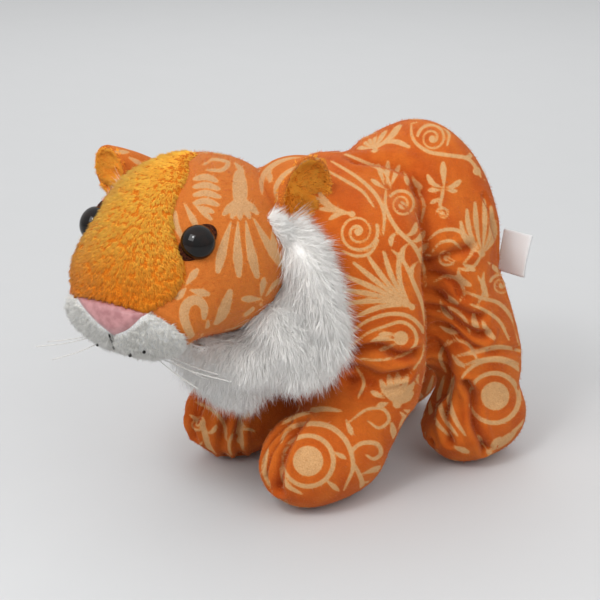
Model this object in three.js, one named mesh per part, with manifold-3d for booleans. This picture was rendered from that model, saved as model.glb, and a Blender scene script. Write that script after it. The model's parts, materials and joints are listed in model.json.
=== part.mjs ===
// A stuffed plush tiger in a slow walk, head low and turned a little to its own left.
// Millimetres, +Z up, nose towards -Y, the tiger's left side towards +X.
import * as THREE from 'three';
import { mergeVertices } from 'three/addons/utils/BufferGeometryUtils.js';
import Module from 'manifold-3d';

const wasm = await Module();
wasm.setup();

// Driving dimensions
const clearance = 0.3; // between pieces that lie against each other when sewn
const clothThickness = 1.4; // short pile knit of the face panels
const soleFlat = 1.2; // how deep each sole is pressed flat
const overrun = 4; // how far a cutting solid runs past what it cuts

const torso = { length: 150, halfWidth: 45, halfHeight: 56, axisHeight: 105, chestAhead: 64 };

const foreleg = { height: 140, spread: 33, reach: 60, halfWidth: 22, halfDepth: 34, topY: 0 };
const forepaw = { length: 70, halfWidth: 21.5, halfHeight: 23.5, toeY: -61 };
const hindleg = { height: 135, spread: 33, reach: 30, halfWidth: 21, halfDepth: 34, topY: 44 };
const hindpaw = { length: 60, halfWidth: 21.5, halfHeight: 22.5, toeY: 32 };

const head = { length: 99, halfWidth: 46, halfHeight: 40, noseAhead: 49 };
const headPlace = { x: 2, y: -80, z: 124 };
const headTurnDegrees = 21;
const blaze = { topHalfWidth: 15, browHalfWidth: 18.5, snoutHalfWidth: 29, length: 74, noseDrop: 40, rise: 1.2 };
const blazeTiltDegrees = 38;
const muzzle = { reach: 44.5, rise: 0.8 };
const muzzleTiltDegrees = 38;
const nose = { width: 36, height: 8, thickness: 1.2 };
const eye = { radius: 7.2, bulge: 5.4, shankRadius: 2.2, shankLength: 11 };
const eyeBacking = { radius: 8.6, thickness: 0.8, sink: 2 };
const ear = { length: 36, halfWidth: 17, cup: 9, backThickness: 1.6, liningThickness: 2.4, sink: 6 };
const ruff = { spread: 34, height: 146, depth: 62, halfWidth: 26, halfThickness: 14 };
const bib = { top: 96, height: 50, ahead: 74, halfWidth: 36, halfThickness: 15 };
const whisker = { radius: 0.35, length: 30, bow: 2 };
const tail = { length: 78, radius: 7.5, behind: 14, aside: 14, standOff: 7 };
const label = { width: 14, height: 21, layer: 0.5, gap: 0.8, standOff: 1.2 };
const labelTurnDegrees = 25;
const labelSagDegrees = 8;

// Where each form's oval sections stand and how large they are, as shares of that form's sizes
const torsoShares = [
  { along: 0.0, rise: 0.0, wide: 0.6, deep: 0.6 },
  { along: 0.14, rise: 0.0, wide: 0.84, deep: 0.83 },
  { along: 0.38, rise: -0.05, wide: 1.0, deep: 0.93 },
  { along: 0.6, rise: -0.05, wide: 0.9, deep: 0.94 },
  { along: 0.83, rise: 0.07, wide: 1.0, deep: 1.0 },
  { along: 1.0, rise: 0.12, wide: 0.74, deep: 0.72 },
];
const forelegShares = [
  { out: 0.67, along: -0.06, up: 1.04, wide: 0.55, deep: 0.6 },
  { out: 0.91, along: -0.08, up: 0.87, wide: 0.91, deep: 0.95 },
  { out: 1.03, along: 0.0, up: 0.66, wide: 0.95, deep: 0.9 },
  { out: 1.06, along: 0.03, up: 0.46, wide: 0.91, deep: 0.78 },
  { out: 1.03, along: -0.05, up: 0.3, wide: 0.89, deep: 0.74 },
  { out: 1.0, along: -0.2, up: 0.14, wide: 0.85, deep: 0.64 },
];
const hindlegShares = [
  { out: 0.67, along: -0.33, up: 1.04, wide: 0.66, deep: 0.7 },
  { out: 0.91, along: -0.25, up: 0.86, wide: 0.95, deep: 0.97 },
  { out: 1.0, along: -0.08, up: 0.67, wide: 1.0, deep: 0.9 },
  { out: 1.03, along: 0.4, up: 0.47, wide: 0.93, deep: 0.8 },
  { out: 1.01, along: 0.64, up: 0.33, wide: 0.9, deep: 0.72 },
  { out: 1.0, along: 0.7, up: 0.12, wide: 0.85, deep: 0.64 },
];
const pawShares = [
  { along: 0.0, wide: 0.74, deep: 0.78 },
  { along: 0.34, wide: 1.0, deep: 1.0 },
  { along: 0.7, wide: 0.92, deep: 0.92 },
  { along: 1.0, wide: 0.7, deep: 0.7 },
];
const headShares = [
  { along: 0.0, rise: -0.61, wide: 0.56, deep: 0.32 },
  { along: 0.11, rise: -0.5, wide: 0.7, deep: 0.47 },
  { along: 0.21, rise: -0.34, wide: 0.81, deep: 0.66 },
  { along: 0.335, rise: -0.18, wide: 0.92, deep: 0.85 },
  { along: 0.515, rise: -0.05, wide: 1.0, deep: 1.0 },
  { along: 0.717, rise: 0.0, wide: 0.96, deep: 0.97 },
  { along: 0.88, rise: 0.0, wide: 0.76, deep: 0.78 },
  { along: 1.0, rise: 0.0, wide: 0.52, deep: 0.52 },
];
const ruffShares = [
  { out: 0.72, along: 0.72, up: 0.98, wide: 0.6, deep: 0.8 },
  { out: 0.98, along: 0.6, up: 0.86, wide: 1.0, deep: 1.0 },
  { out: 1.04, along: 0.5, up: 0.7, wide: 1.1, deep: 1.0 },
  { out: 0.86, along: 0.62, up: 0.52, wide: 1.0, deep: 0.9 },
  { out: 0.6, along: 0.84, up: 0.42, wide: 0.7, deep: 0.7 },
];
const bibShares = [
  { ahead: 0.98, drop: 0.0, wide: 0.8, deep: 0.8 },
  { ahead: 0.92, drop: 0.3, wide: 1.0, deep: 1.0 },
  { ahead: 0.8, drop: 0.7, wide: 0.9, deep: 1.0 },
  { ahead: 0.68, drop: 1.0, wide: 0.7, deep: 0.8 },
];
const tailShares = [
  { aside: 0.0, behind: -0.1, drop: -0.085, thick: 1.0 },
  { aside: 0.05, behind: 0.3, drop: 0.13, thick: 1.0 },
  { aside: 0.4, behind: 0.62, drop: 0.42, thick: 0.94 },
  { aside: 0.85, behind: 0.7, drop: 0.72, thick: 0.98 },
  { aside: 1.0, behind: 1.0, drop: 1.0, thick: 0.95 },
];
// Places on the head's skin: share of its length from the nose, and degrees up from its side
const eyeSeat = { alongShare: 0.42, upDegrees: 47 };
const earSeat = { alongShare: 0.73, upDegrees: 29 };
// Each whisker's place, and how far out, back and down its tip lies as shares of its length
const whiskerShares = {
  left: [
    { alongShare: 0.1, upDegrees: -62, out: 0.9, back: 0.45, drop: 0.3 },
    { alongShare: 0.115, upDegrees: -72, out: 0.62, back: 0.2, drop: 0.42 },
    { alongShare: 0.14, upDegrees: -66, out: 0.68, back: 0.35, drop: 0.28 },
    { alongShare: 0.15, upDegrees: -76, out: 0.5, back: 0.5, drop: 0.5 },
  ],
  right: [
    { alongShare: 0.1, upDegrees: -48, out: 0.6, back: -0.6, drop: 0.1 },
    { alongShare: 0.115, upDegrees: -58, out: 0.6, back: -0.5, drop: 0.28 },
    { alongShare: 0.14, upDegrees: -50, out: 0.75, back: -0.35, drop: 0.2 },
  ],
};
// Which way each ear points and which way its hollow faces; the right ear droops
const earPoses = {
  left: { axis: { out: 0.6, back: 0.64, up: 0.48 }, hollow: { out: 0.72, back: -0.14, up: -0.72 } },
  right: { axis: { out: 0.95, back: 0.05, up: 0.16 }, hollow: { out: 0, back: -0.9, up: -0.45 } },
};
const earCentreShare = 0.4;
const earTipShare = 0.8;
const earRootShare = 0.75;
const earCornerShare = 0.25;
const labelSeat = { alongShare: 0.925, upDegrees: -15 };
const tailSeat = { alongShare: 0.96, upDegrees: 30 };

const sides = [['left', 1], ['right', -1]];
const v3 = (x, y, z) => new THREE.Vector3(x, y, z);
const radians = THREE.MathUtils.degToRad;

// A stuffed form: oval rings that swell and taper along a spine and close round at both ends
class StuffedForm {
  constructor({ stations, rings, sides: around, capShares }) {
    this.spine = new THREE.CatmullRomCurve3(stations.map((s) => s.at));
    this.girth = new THREE.CatmullRomCurve3(stations.map((s) => v3(s.wide, s.deep, 0)));
    this.rings = rings;
    this.around = around;
    this.capShares = capShares;
  }

  // How far the end caps draw the section in
  cap(u) {
    const [first, last] = this.capShares;
    const fromEnd = Math.min(u / first, (1 - u) / last);
    return fromEnd >= 1 ? 1 : Math.sqrt(1 - (1 - fromEnd) ** 2);
  }

  // A point of the skin. Angle 0 faces +X; a quarter turn on is up on a form that lies along +Y
  point(u, angle) {
    const along = this.spine.getTangent(u);
    const side = v3(1, 0, 0).addScaledVector(along, -along.x).normalize();
    const deep = new THREE.Vector3().crossVectors(side, along).normalize();
    const size = this.girth.getPoint(u).multiplyScalar(this.cap(u));
    return this.spine.getPoint(u)
      .addScaledVector(side, size.x * Math.cos(angle))
      .addScaledVector(deep, size.y * Math.sin(angle));
  }

  normal(u, angle) {
    const step = 1e-3;
    if (u <= 0) return this.spine.getTangent(0).negate();
    if (u >= 1) return this.spine.getTangent(1);
    const lengthwise = this.point(Math.min(u + step, 1), angle).sub(this.point(Math.max(u - step, 0), angle));
    const round = this.point(u, angle + step).sub(this.point(u, angle - step));
    return lengthwise.cross(round).normalize();
  }

  // The whole skin, moved out by grow, or in where grow is below zero
  geometry(grow = 0) {
    const skin = (u, angle) => this.point(u, angle).addScaledVector(this.normal(u, angle), grow);
    const positions = [...skin(0, 0)];
    for (let i = 1; i < this.rings; i += 1) {
      const u = (1 - Math.cos((Math.PI * i) / this.rings)) / 2;
      for (let j = 0; j < this.around; j += 1) positions.push(...skin(u, (2 * Math.PI * j) / this.around));
    }
    positions.push(...skin(1, 0));
    const last = positions.length / 3 - 1;
    const ring = (i, j) => 1 + i * this.around + (j % this.around);
    const index = [];
    for (let j = 0; j < this.around; j += 1) {
      index.push(0, ring(0, j), ring(0, j + 1));
      for (let i = 0; i < this.rings - 2; i += 1) {
        index.push(ring(i, j), ring(i + 1, j + 1), ring(i, j + 1));
        index.push(ring(i, j), ring(i + 1, j), ring(i + 1, j + 1));
      }
      index.push(last, ring(this.rings - 2, j + 1), ring(this.rings - 2, j));
    }
    const geometry = new THREE.BufferGeometry();
    geometry.setAttribute('position', new THREE.Float32BufferAttribute(positions, 3));
    geometry.setIndex(index);
    return geometry;
  }

  solid(grow = 0, matrix = new THREE.Matrix4()) {
    return toSolid(this.geometry(grow), matrix);
  }
}

// A closed geometry as a solid that can be joined and cut
function toSolid(geometry, matrix = new THREE.Matrix4()) {
  const bare = geometry.clone().applyMatrix4(matrix);
  bare.deleteAttribute('normal');
  bare.deleteAttribute('uv');
  const merged = mergeVertices(bare);
  const corners = merged.index.array;
  const triangles = [];
  for (let i = 0; i < corners.length; i += 3) {
    const [a, b, c] = corners.slice(i, i + 3);
    if (a !== b && b !== c && c !== a) triangles.push(a, b, c);
  }
  return new wasm.Manifold(new wasm.Mesh({
    numProp: 3,
    vertProperties: new Float32Array(merged.attributes.position.array),
    triVerts: new Uint32Array(triangles),
  }));
}

function toMesh(name, solid, material) {
  const [largest] = solid.decompose().sort((a, b) => b.volume() - a.volume());
  const mesh = largest.getMesh();
  const geometry = new THREE.BufferGeometry();
  geometry.setAttribute('position', new THREE.Float32BufferAttribute(mesh.vertProperties, 3));
  geometry.setIndex([...mesh.triVerts]);
  geometry.computeVertexNormals();
  const piece = new THREE.Mesh(geometry, material);
  piece.name = name;
  return piece;
}

const finish = (color, roughness, metalness = 0) => new THREE.MeshStandardMaterial({ color, roughness, metalness });
const finishes = {
  print: finish('#dc7a36', 0.9),
  gold: finish('#e09a35', 0.95),
  white: finish('#eceae6', 0.95),
  shortWhite: finish('#cfd0ce', 0.95),
  satin: finish('#d79aa6', 0.5),
  gloss: finish('#120f0e', 0.08),
  felt: finish('#5a3424', 0.9),
  nylon: finish('#dcdcd8', 0.3),
  tape: finish('#f2f2f0', 0.6),
};

// The torso and the legs
function lyingForm(shares, form, { x = 0, startY, axisHeight, rings, around, capShares }) {
  const stations = shares.map((s) => ({
    at: v3(x, startY + s.along * form.length, axisHeight + (s.rise ?? 0) * form.halfHeight),
    wide: s.wide * form.halfWidth,
    deep: s.deep * form.halfHeight,
  }));
  return new StuffedForm({ stations, rings, sides: around, capShares });
}

function legForm(shares, leg, side) {
  const stations = shares.map((s) => ({
    at: v3(side * s.out * leg.spread, leg.topY + s.along * leg.reach, s.up * leg.height),
    wide: s.wide * leg.halfWidth,
    deep: s.deep * leg.halfDepth,
  }));
  return new StuffedForm({ stations, rings: 11, sides: 16, capShares: [0.25, 0.2] });
}

function pawForm(paw, leg, side) {
  return lyingForm(pawShares, paw, {
    x: side * leg.spread, startY: paw.toeY, axisHeight: paw.halfHeight - soleFlat,
    rings: 9, around: 16, capShares: [0.32, 0.36],
  });
}

function below(height) {
  const span = torso.length * 4;
  const slab = new THREE.BoxGeometry(span, span, overrun);
  slab.translate(0, 0, height - overrun / 2);
  return toSolid(slab);
}

const torsoForm = lyingForm(torsoShares, torso, {
  startY: -torso.chestAhead, axisHeight: torso.axisHeight, rings: 18, around: 26, capShares: [0.22, 0.22],
});

const limbs = {};
for (const [word, side] of sides) {
  for (const [end, shares, leg, paw] of [
    ['front', forelegShares, foreleg, forepaw], ['hind', hindlegShares, hindleg, hindpaw]]) {
    limbs[`${end}_leg_${word}`] = legForm(shares, leg, side);
    limbs[`${end}_paw_${word}`] = pawForm(paw, leg, side);
  }
}

// The head's own frame: its centre is the origin and its nose points to -Y
const skull = new THREE.Group();
skull.position.set(headPlace.x, headPlace.y, headPlace.z);
skull.rotation.z = radians(headTurnDegrees);
skull.updateMatrix();
const toTiger = skull.matrix.clone();
const toHead = toTiger.clone().invert();

const headForm = lyingForm(headShares, head, {
  startY: -head.noseAhead, axisHeight: 0, rings: 19, around: 24, capShares: [0.09, 0.16],
});

const headShell = (rise) => headForm.solid(rise).subtract(headForm.solid(-clothThickness));

// The gold panel from the nose over the brow, drawn in a plane that leans back with the face
function blazeOutline(grow) {
  const low = -blaze.noseDrop - grow;
  const high = low + blaze.length + 2 * grow;
  const rightSide = [
    [nose.width / 2, 0], [blaze.snoutHalfWidth, 0.16],
    [(blaze.snoutHalfWidth + blaze.browHalfWidth) / 2, 0.34],
    [blaze.browHalfWidth, 0.54], [blaze.topHalfWidth, 1],
  ].map(([half, share]) => new THREE.Vector2(half + grow, THREE.MathUtils.lerp(low, high, share)));
  const leftSide = rightSide.map((p) => new THREE.Vector2(-p.x, p.y)).reverse();
  const shape = new THREE.Shape();
  shape.moveTo(rightSide[0].x, low);
  shape.splineThru(rightSide.slice(1));
  shape.lineTo(leftSide[0].x, high);
  shape.splineThru(leftSide.slice(1));
  shape.closePath();
  return shape;
}

const faceLean = new THREE.Matrix4().makeRotationX(Math.PI / 2 - radians(blazeTiltDegrees));

function facePrism(shape) {
  const prism = new THREE.ExtrudeGeometry(shape, { depth: head.length, bevelEnabled: false, curveSegments: 5 });
  return toSolid(prism, faceLean);
}

function noseOutline() {
  const top = -blaze.noseDrop - clearance;
  const half = nose.width / 2;
  const shape = new THREE.Shape();
  shape.moveTo(half, top);
  shape.lineTo(-half, top);
  shape.quadraticCurveTo(-half * 0.55, top - nose.height * 0.35, 0, top - nose.height);
  shape.quadraticCurveTo(half * 0.55, top - nose.height * 0.35, half, top);
  return shape;
}

// Everything in front of and below the slanting seam of the muzzle
function muzzleRegion(grow) {
  const span = head.length * 2;
  const block = new THREE.BoxGeometry(span, span, span);
  block.translate(0, 0, muzzle.reach - grow + span / 2);
  return toSolid(block, new THREE.Matrix4().makeRotationX(Math.PI / 2 + radians(muzzleTiltDegrees)));
}

// A point and outward direction on a form's skin
function seatOn(form, place, side) {
  const up = radians(place.upDegrees);
  const angle = side > 0 ? up : Math.PI - up;
  return { point: form.point(place.alongShare, angle), out: form.normal(place.alongShare, angle) };
}

function seatMatrix(seat) {
  const turn = new THREE.Quaternion().setFromUnitVectors(v3(0, 1, 0), seat.out);
  return new THREE.Matrix4().compose(seat.point, turn, v3(1, 1, 1));
}

// A round rod square to the skin, between two distances out from it
function rod(radius, from, to, seat) {
  const cylinder = new THREE.CylinderGeometry(radius, radius, to - from, 18);
  cylinder.translate(0, (from + to) / 2, 0);
  return toSolid(cylinder, seatMatrix(seat));
}

function eyeDome(seat) {
  const base = eyeBacking.thickness + 2 * clearance;
  const profile = [
    new THREE.Vector2(0, -eye.shankLength), new THREE.Vector2(eye.shankRadius, -eye.shankLength),
    new THREE.Vector2(eye.shankRadius, base),
  ];
  const steps = 6;
  for (let i = 0; i <= steps; i += 1) {
    const a = (Math.PI / 2) * (i / steps);
    profile.push(new THREE.Vector2(i === steps ? 0 : eye.radius * Math.cos(a), base + eye.bulge * Math.sin(a)));
  }
  return toSolid(new THREE.LatheGeometry(profile, 24), seatMatrix(seat));
}

// A thin curved sheet with two faces and a closed rim: pointAt takes shares along and across, and a face
function sheetSolid(pointAt, lengthSteps, widthSteps) {
  const positions = [];
  const index = [];
  const row = widthSteps + 1;
  const face = row * (lengthSteps + 1);
  for (const side of [0, 1]) {
    for (let i = 0; i <= lengthSteps; i += 1) {
      for (let j = 0; j <= widthSteps; j += 1) {
        positions.push(...pointAt(i / lengthSteps, (2 * j) / widthSteps - 1, side));
      }
    }
  }
  const quad = (a, b, c, d) => index.push(a, b, c, a, c, d);
  for (let i = 0; i < lengthSteps; i += 1) {
    for (let j = 0; j < widthSteps; j += 1) {
      const a = i * row + j;
      quad(a, a + 1, a + row + 1, a + row);
      quad(face + a, face + a + row, face + a + row + 1, face + a + 1);
    }
  }
  const rim = [];
  for (let j = 0; j < widthSteps; j += 1) rim.push(j);
  for (let i = 0; i < lengthSteps; i += 1) rim.push(i * row + widthSteps);
  for (let j = widthSteps; j > 0; j -= 1) rim.push(lengthSteps * row + j);
  for (let i = lengthSteps; i > 0; i -= 1) rim.push(i * row);
  rim.forEach((a, i) => {
    const b = rim[(i + 1) % rim.length];
    quad(b, a, face + a, face + b);
  });
  const geometry = new THREE.BufferGeometry();
  geometry.setAttribute('position', new THREE.Float32BufferAttribute(positions, 3));
  geometry.setIndex(index);
  return toSolid(geometry);
}

// One ear layer, between two depths behind its hollow face
function earLayer(side, { axis: lean, hollow }, from, to) {
  const seat = seatOn(headForm, earSeat, side);
  const axis = v3(side * lean.out, lean.back, lean.up).normalize();
  const opening = v3(side * hollow.out, hollow.back, hollow.up);
  opening.addScaledVector(axis, -opening.dot(axis)).normalize();
  const across = new THREE.Vector3().crossVectors(axis, opening);
  const pointAt = (along, w, face) => {
    const swell = Math.sqrt(1 - along ** 3 * earTipShare) * (earRootShare + (1 - earRootShare) * Math.sin(Math.PI * along));
    const depth = ear.cup * (earCentreShare - w * w) * swell + (face ? to : from);
    return seat.point.clone()
      .addScaledVector(axis, ear.length * along * (1 - earCornerShare * w * w) - ear.sink)
      .addScaledVector(across, ear.halfWidth * w * swell)
      .addScaledVector(opening, -depth);
  };
  return sheetSolid(pointAt, 6, 8);
}

function whiskerStrand(side, place) {
  const seat = seatOn(headForm, place, side);
  const start = seat.point.clone().addScaledVector(seat.out, muzzle.rise + clearance);
  const sweep = v3(side * place.out, place.back, -place.drop).multiplyScalar(whisker.length);
  const middle = start.clone().addScaledVector(sweep, 0.5).addScaledVector(seat.out, whisker.bow);
  const section = new THREE.Shape();
  section.absarc(0, 0, whisker.radius, 0, 2 * Math.PI);
  const path = new THREE.CatmullRomCurve3([start, middle, start.clone().add(sweep)]);
  return toSolid(new THREE.ExtrudeGeometry(section, { steps: 6, curveSegments: 3, extrudePath: path }));
}

const tiger = new THREE.Group();
const add = (parent, name, solid, material) => parent.add(toMesh(name, solid, material));

add(tiger, 'torso', torsoForm.solid(), finishes.print);

const floorCut = below(0);
for (const [word] of sides) {
  for (const end of ['front', 'hind']) {
    const paw = limbs[`${end}_paw_${word}`];
    const leg = limbs[`${end}_leg_${word}`].solid().subtract(torsoForm.solid(clearance)).subtract(paw.solid(clearance));
    const behind = limbs[`front_leg_${word}`].solid(clearance);
    add(tiger, `${end}_leg_${word}`, end === 'hind' ? leg.subtract(behind) : leg, finishes.print);
    add(tiger, `${end}_paw_${word}`, paw.solid().subtract(floorCut), finishes.print);
  }
}

// The face: a gold panel and a short white muzzle panel let into the head, and a satin nose over both
const torsoInHead = torsoForm.solid(clearance, toHead);
const blazeCut = facePrism(blazeOutline(clearance));
add(skull, 'face_blaze', headShell(blaze.rise).intersect(facePrism(blazeOutline(0))).subtract(torsoInHead), finishes.gold);
add(skull, 'muzzle', headShell(muzzle.rise).intersect(muzzleRegion(0)).subtract(blazeCut), finishes.shortWhite);
const noseSkin = muzzle.rise + clearance;
add(skull, 'nose', headForm.solid(noseSkin + nose.thickness).subtract(headForm.solid(noseSkin))
  .intersect(facePrism(noseOutline())), finishes.satin);

const panelSeat = headForm.solid(overrun).subtract(headForm.solid(-clothThickness - clearance));
let skin = headForm.solid().subtract(panelSeat.intersect(blazeCut.add(muzzleRegion(clearance)))).subtract(torsoInHead);
const headSkinOut = headForm.solid(clearance);
for (const [word, side] of sides) {
  const seat = seatOn(headForm, eyeSeat, side);
  const shankHole = rod(eye.shankRadius + clearance, -eye.shankLength - clearance, overrun, seat);
  add(skull, `eye_${word}`, eyeDome(seat), finishes.gloss);
  add(skull, `eye_backing_${word}`, rod(eyeBacking.radius, -eyeBacking.sink, eyeBacking.thickness + clearance, seat)
    .subtract(headSkinOut).subtract(shankHole), finishes.felt);
  skin = skin.subtract(shankHole);
}
add(skull, 'head', skin, finishes.print);

// The white ruff: two cheek pieces that run from the ears round to the throat, and a bib over the chest
function ruffForm(side) {
  const stations = ruffShares.map((s) => ({
    at: v3(side * s.out * ruff.spread, -s.along * ruff.depth, s.up * ruff.height),
    wide: s.wide * ruff.halfWidth,
    deep: s.deep * ruff.halfThickness,
  }));
  return new StuffedForm({ stations, rings: 12, sides: 14, capShares: [0.3, 0.3] });
}

const bibForm = new StuffedForm({
  stations: bibShares.map((s) => ({
    at: v3(0, -s.ahead * bib.ahead, bib.top - s.drop * bib.height),
    wide: s.wide * bib.halfWidth,
    deep: s.deep * bib.halfThickness,
  })),
  rings: 10, sides: 18, capShares: [0.3, 0.3],
});

for (const [word, side] of sides) {
  const pose = earPoses[word];
  const ruffInHead = ruffForm(side).solid(clearance, toHead);
  const trim = (layer) => layer.subtract(headSkinOut).subtract(torsoInHead).subtract(ruffInHead);
  add(skull, `ear_lining_${word}`, trim(earLayer(side, pose, 0, ear.liningThickness)), finishes.gold);
  const backFrom = ear.liningThickness + clearance;
  add(skull, `ear_${word}`, trim(earLayer(side, pose, backFrom, backFrom + ear.backThickness)), finishes.print);
  whiskerShares[word].forEach((place, i) => {
    add(skull, `whisker_${word}_${i + 1}`, whiskerStrand(side, place), finishes.nylon);
  });
}
tiger.add(skull);

// The ruff lies against the body, under the head
const bodyForms = [torsoForm.solid(clearance), headForm.solid(muzzle.rise + clearance, toTiger),
  ...Object.values(limbs).map((limb) => limb.solid(clearance))];
const clearOfBody = (solid) => bodyForms.reduce((left, form) => left.subtract(form), solid);
add(tiger, 'bib', clearOfBody(bibForm.solid()), finishes.white);
for (const [word, side] of sides) {
  add(tiger, `ruff_${word}`, clearOfBody(ruffForm(side).solid()).subtract(bibForm.solid(clearance)), finishes.white);
}

// The tail hangs behind the right haunch, from a rounded root that touches the rump
const tailPlace = seatOn(torsoForm, tailSeat, -1);
const tailForm = new StuffedForm({
  stations: tailShares.map((s) => ({
    at: v3(-s.aside * tail.aside, s.behind * tail.behind, -s.drop * tail.length),
    wide: s.thick * tail.radius,
    deep: s.thick * tail.radius,
  })),
  rings: 14, sides: 12, capShares: [0.09, 0.1],
});
const tailGroup = new THREE.Group();
tailGroup.position.copy(tailPlace.point).addScaledVector(tailPlace.out, tail.standOff);
add(tailGroup, 'tail', tailForm.solid(), finishes.print);
tiger.add(tailGroup);

// The sewn-in tape: a folded loop whose two ends meet in the seam of the left haunch
function labelOutline(inset, from) {
  const half = label.layer + label.gap / 2 - inset;
  const outline = new THREE.Path();
  outline.moveTo(from, -half);
  outline.lineTo(label.width - half - inset, -half);
  outline.absarc(label.width - half - inset, 0, half, -Math.PI / 2, Math.PI / 2);
  outline.lineTo(from, half);
  outline.closePath();
  return outline;
}

const labelShape = new THREE.Shape(labelOutline(0, 0).getPoints(4));
labelShape.holes.push(labelOutline(label.layer, label.layer));
const tape = new THREE.ExtrudeGeometry(labelShape, { depth: label.height, bevelEnabled: false, curveSegments: 4 });
tape.translate(0, 0, -label.height / 2);
const labelPlace = seatOn(torsoForm, labelSeat, 1);
const labelGroup = new THREE.Group();
labelGroup.position.copy(labelPlace.point).addScaledVector(labelPlace.out, label.standOff);
labelGroup.rotation.set(0, radians(labelSagDegrees), radians(labelTurnDegrees), 'ZYX');
add(labelGroup, 'label', toSolid(tape), finishes.tape);
tiger.add(labelGroup);

// The soles stand on the floor and the middle of the whole lies over the origin
const whole = new THREE.Box3().setFromObject(tiger, true);
const middle = whole.getCenter(v3(0, 0, 0));
tiger.position.set(-middle.x, -middle.y, -whole.min.z);

export default tiger;
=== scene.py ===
"""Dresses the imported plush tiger: printed cover, gold face, white muzzle and ruff, eyes, ears, tail, tape.

Sizes are millimetres and become metres where a mesh is written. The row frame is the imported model's own:
+Z up, nose towards -Y, the tiger's left side towards +X.
"""

import json
import logging
import math
from dataclasses import dataclass, field
from enum import Enum
from typing import Callable, Iterable, Sequence

import bmesh
import bpy
import numpy as np
from mathutils import Matrix, Vector
from mathutils.bvhtree import BVHTree
from mathutils.kdtree import KDTree

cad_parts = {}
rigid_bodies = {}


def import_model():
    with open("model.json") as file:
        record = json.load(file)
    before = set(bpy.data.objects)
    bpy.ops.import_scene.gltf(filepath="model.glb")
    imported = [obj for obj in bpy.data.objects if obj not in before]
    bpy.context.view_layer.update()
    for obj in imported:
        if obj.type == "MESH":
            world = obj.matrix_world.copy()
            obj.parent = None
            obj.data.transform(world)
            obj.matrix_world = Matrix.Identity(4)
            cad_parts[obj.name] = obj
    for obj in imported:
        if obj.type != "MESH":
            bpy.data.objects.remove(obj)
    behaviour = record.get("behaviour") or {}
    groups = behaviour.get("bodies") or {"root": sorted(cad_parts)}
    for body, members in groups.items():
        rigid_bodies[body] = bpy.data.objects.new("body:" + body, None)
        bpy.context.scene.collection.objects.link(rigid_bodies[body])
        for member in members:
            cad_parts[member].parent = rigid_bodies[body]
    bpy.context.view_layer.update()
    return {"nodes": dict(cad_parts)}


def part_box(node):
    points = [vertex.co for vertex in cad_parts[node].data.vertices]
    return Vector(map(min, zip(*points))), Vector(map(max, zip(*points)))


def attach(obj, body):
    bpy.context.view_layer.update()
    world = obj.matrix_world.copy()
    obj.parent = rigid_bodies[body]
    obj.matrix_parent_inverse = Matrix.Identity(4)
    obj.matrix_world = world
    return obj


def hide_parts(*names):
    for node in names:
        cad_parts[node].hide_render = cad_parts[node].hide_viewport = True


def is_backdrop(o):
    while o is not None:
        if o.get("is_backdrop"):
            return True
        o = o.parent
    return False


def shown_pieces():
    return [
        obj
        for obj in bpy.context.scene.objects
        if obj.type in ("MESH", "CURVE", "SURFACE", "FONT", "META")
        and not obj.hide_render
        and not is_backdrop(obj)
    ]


for start_object in list(bpy.data.objects):
    bpy.data.objects.remove(start_object)
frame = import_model()

LOG = logging.getLogger("plush_tiger")
MM = 0.001
TINY = 1e-6
Array = np.ndarray
Point2 = tuple[float, float]
Point3 = tuple[float, float, float]
Colour = tuple[int, int, int]
Tint = tuple[float, float, float, float]
Direct = Callable[[Array, Array], Array]


# The photograph's view

def unit(values: Sequence[float]) -> Array:
    """Scale a direction to length one."""
    array = np.asarray(values, float)
    return array / np.linalg.norm(array)


@dataclass(frozen=True)
class ViewAxes:
    """The three directions of a viewer who looks at the tiger from an azimuth and an elevation."""

    azimuth: float
    elevation: float

    @property
    def towards(self) -> Array:
        """Direction from the tiger to the viewer."""
        a, e = math.radians(self.azimuth), math.radians(self.elevation)
        return np.array([math.sin(a) * math.cos(e), -math.cos(a) * math.cos(e), math.sin(e)])

    @property
    def right(self) -> Array:
        """The viewer's right."""
        a = math.radians(self.azimuth)
        return np.array([math.cos(a), math.sin(a), 0.0])

    @property
    def up(self) -> Array:
        """The viewer's up."""
        return np.cross(self.towards, self.right)


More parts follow.
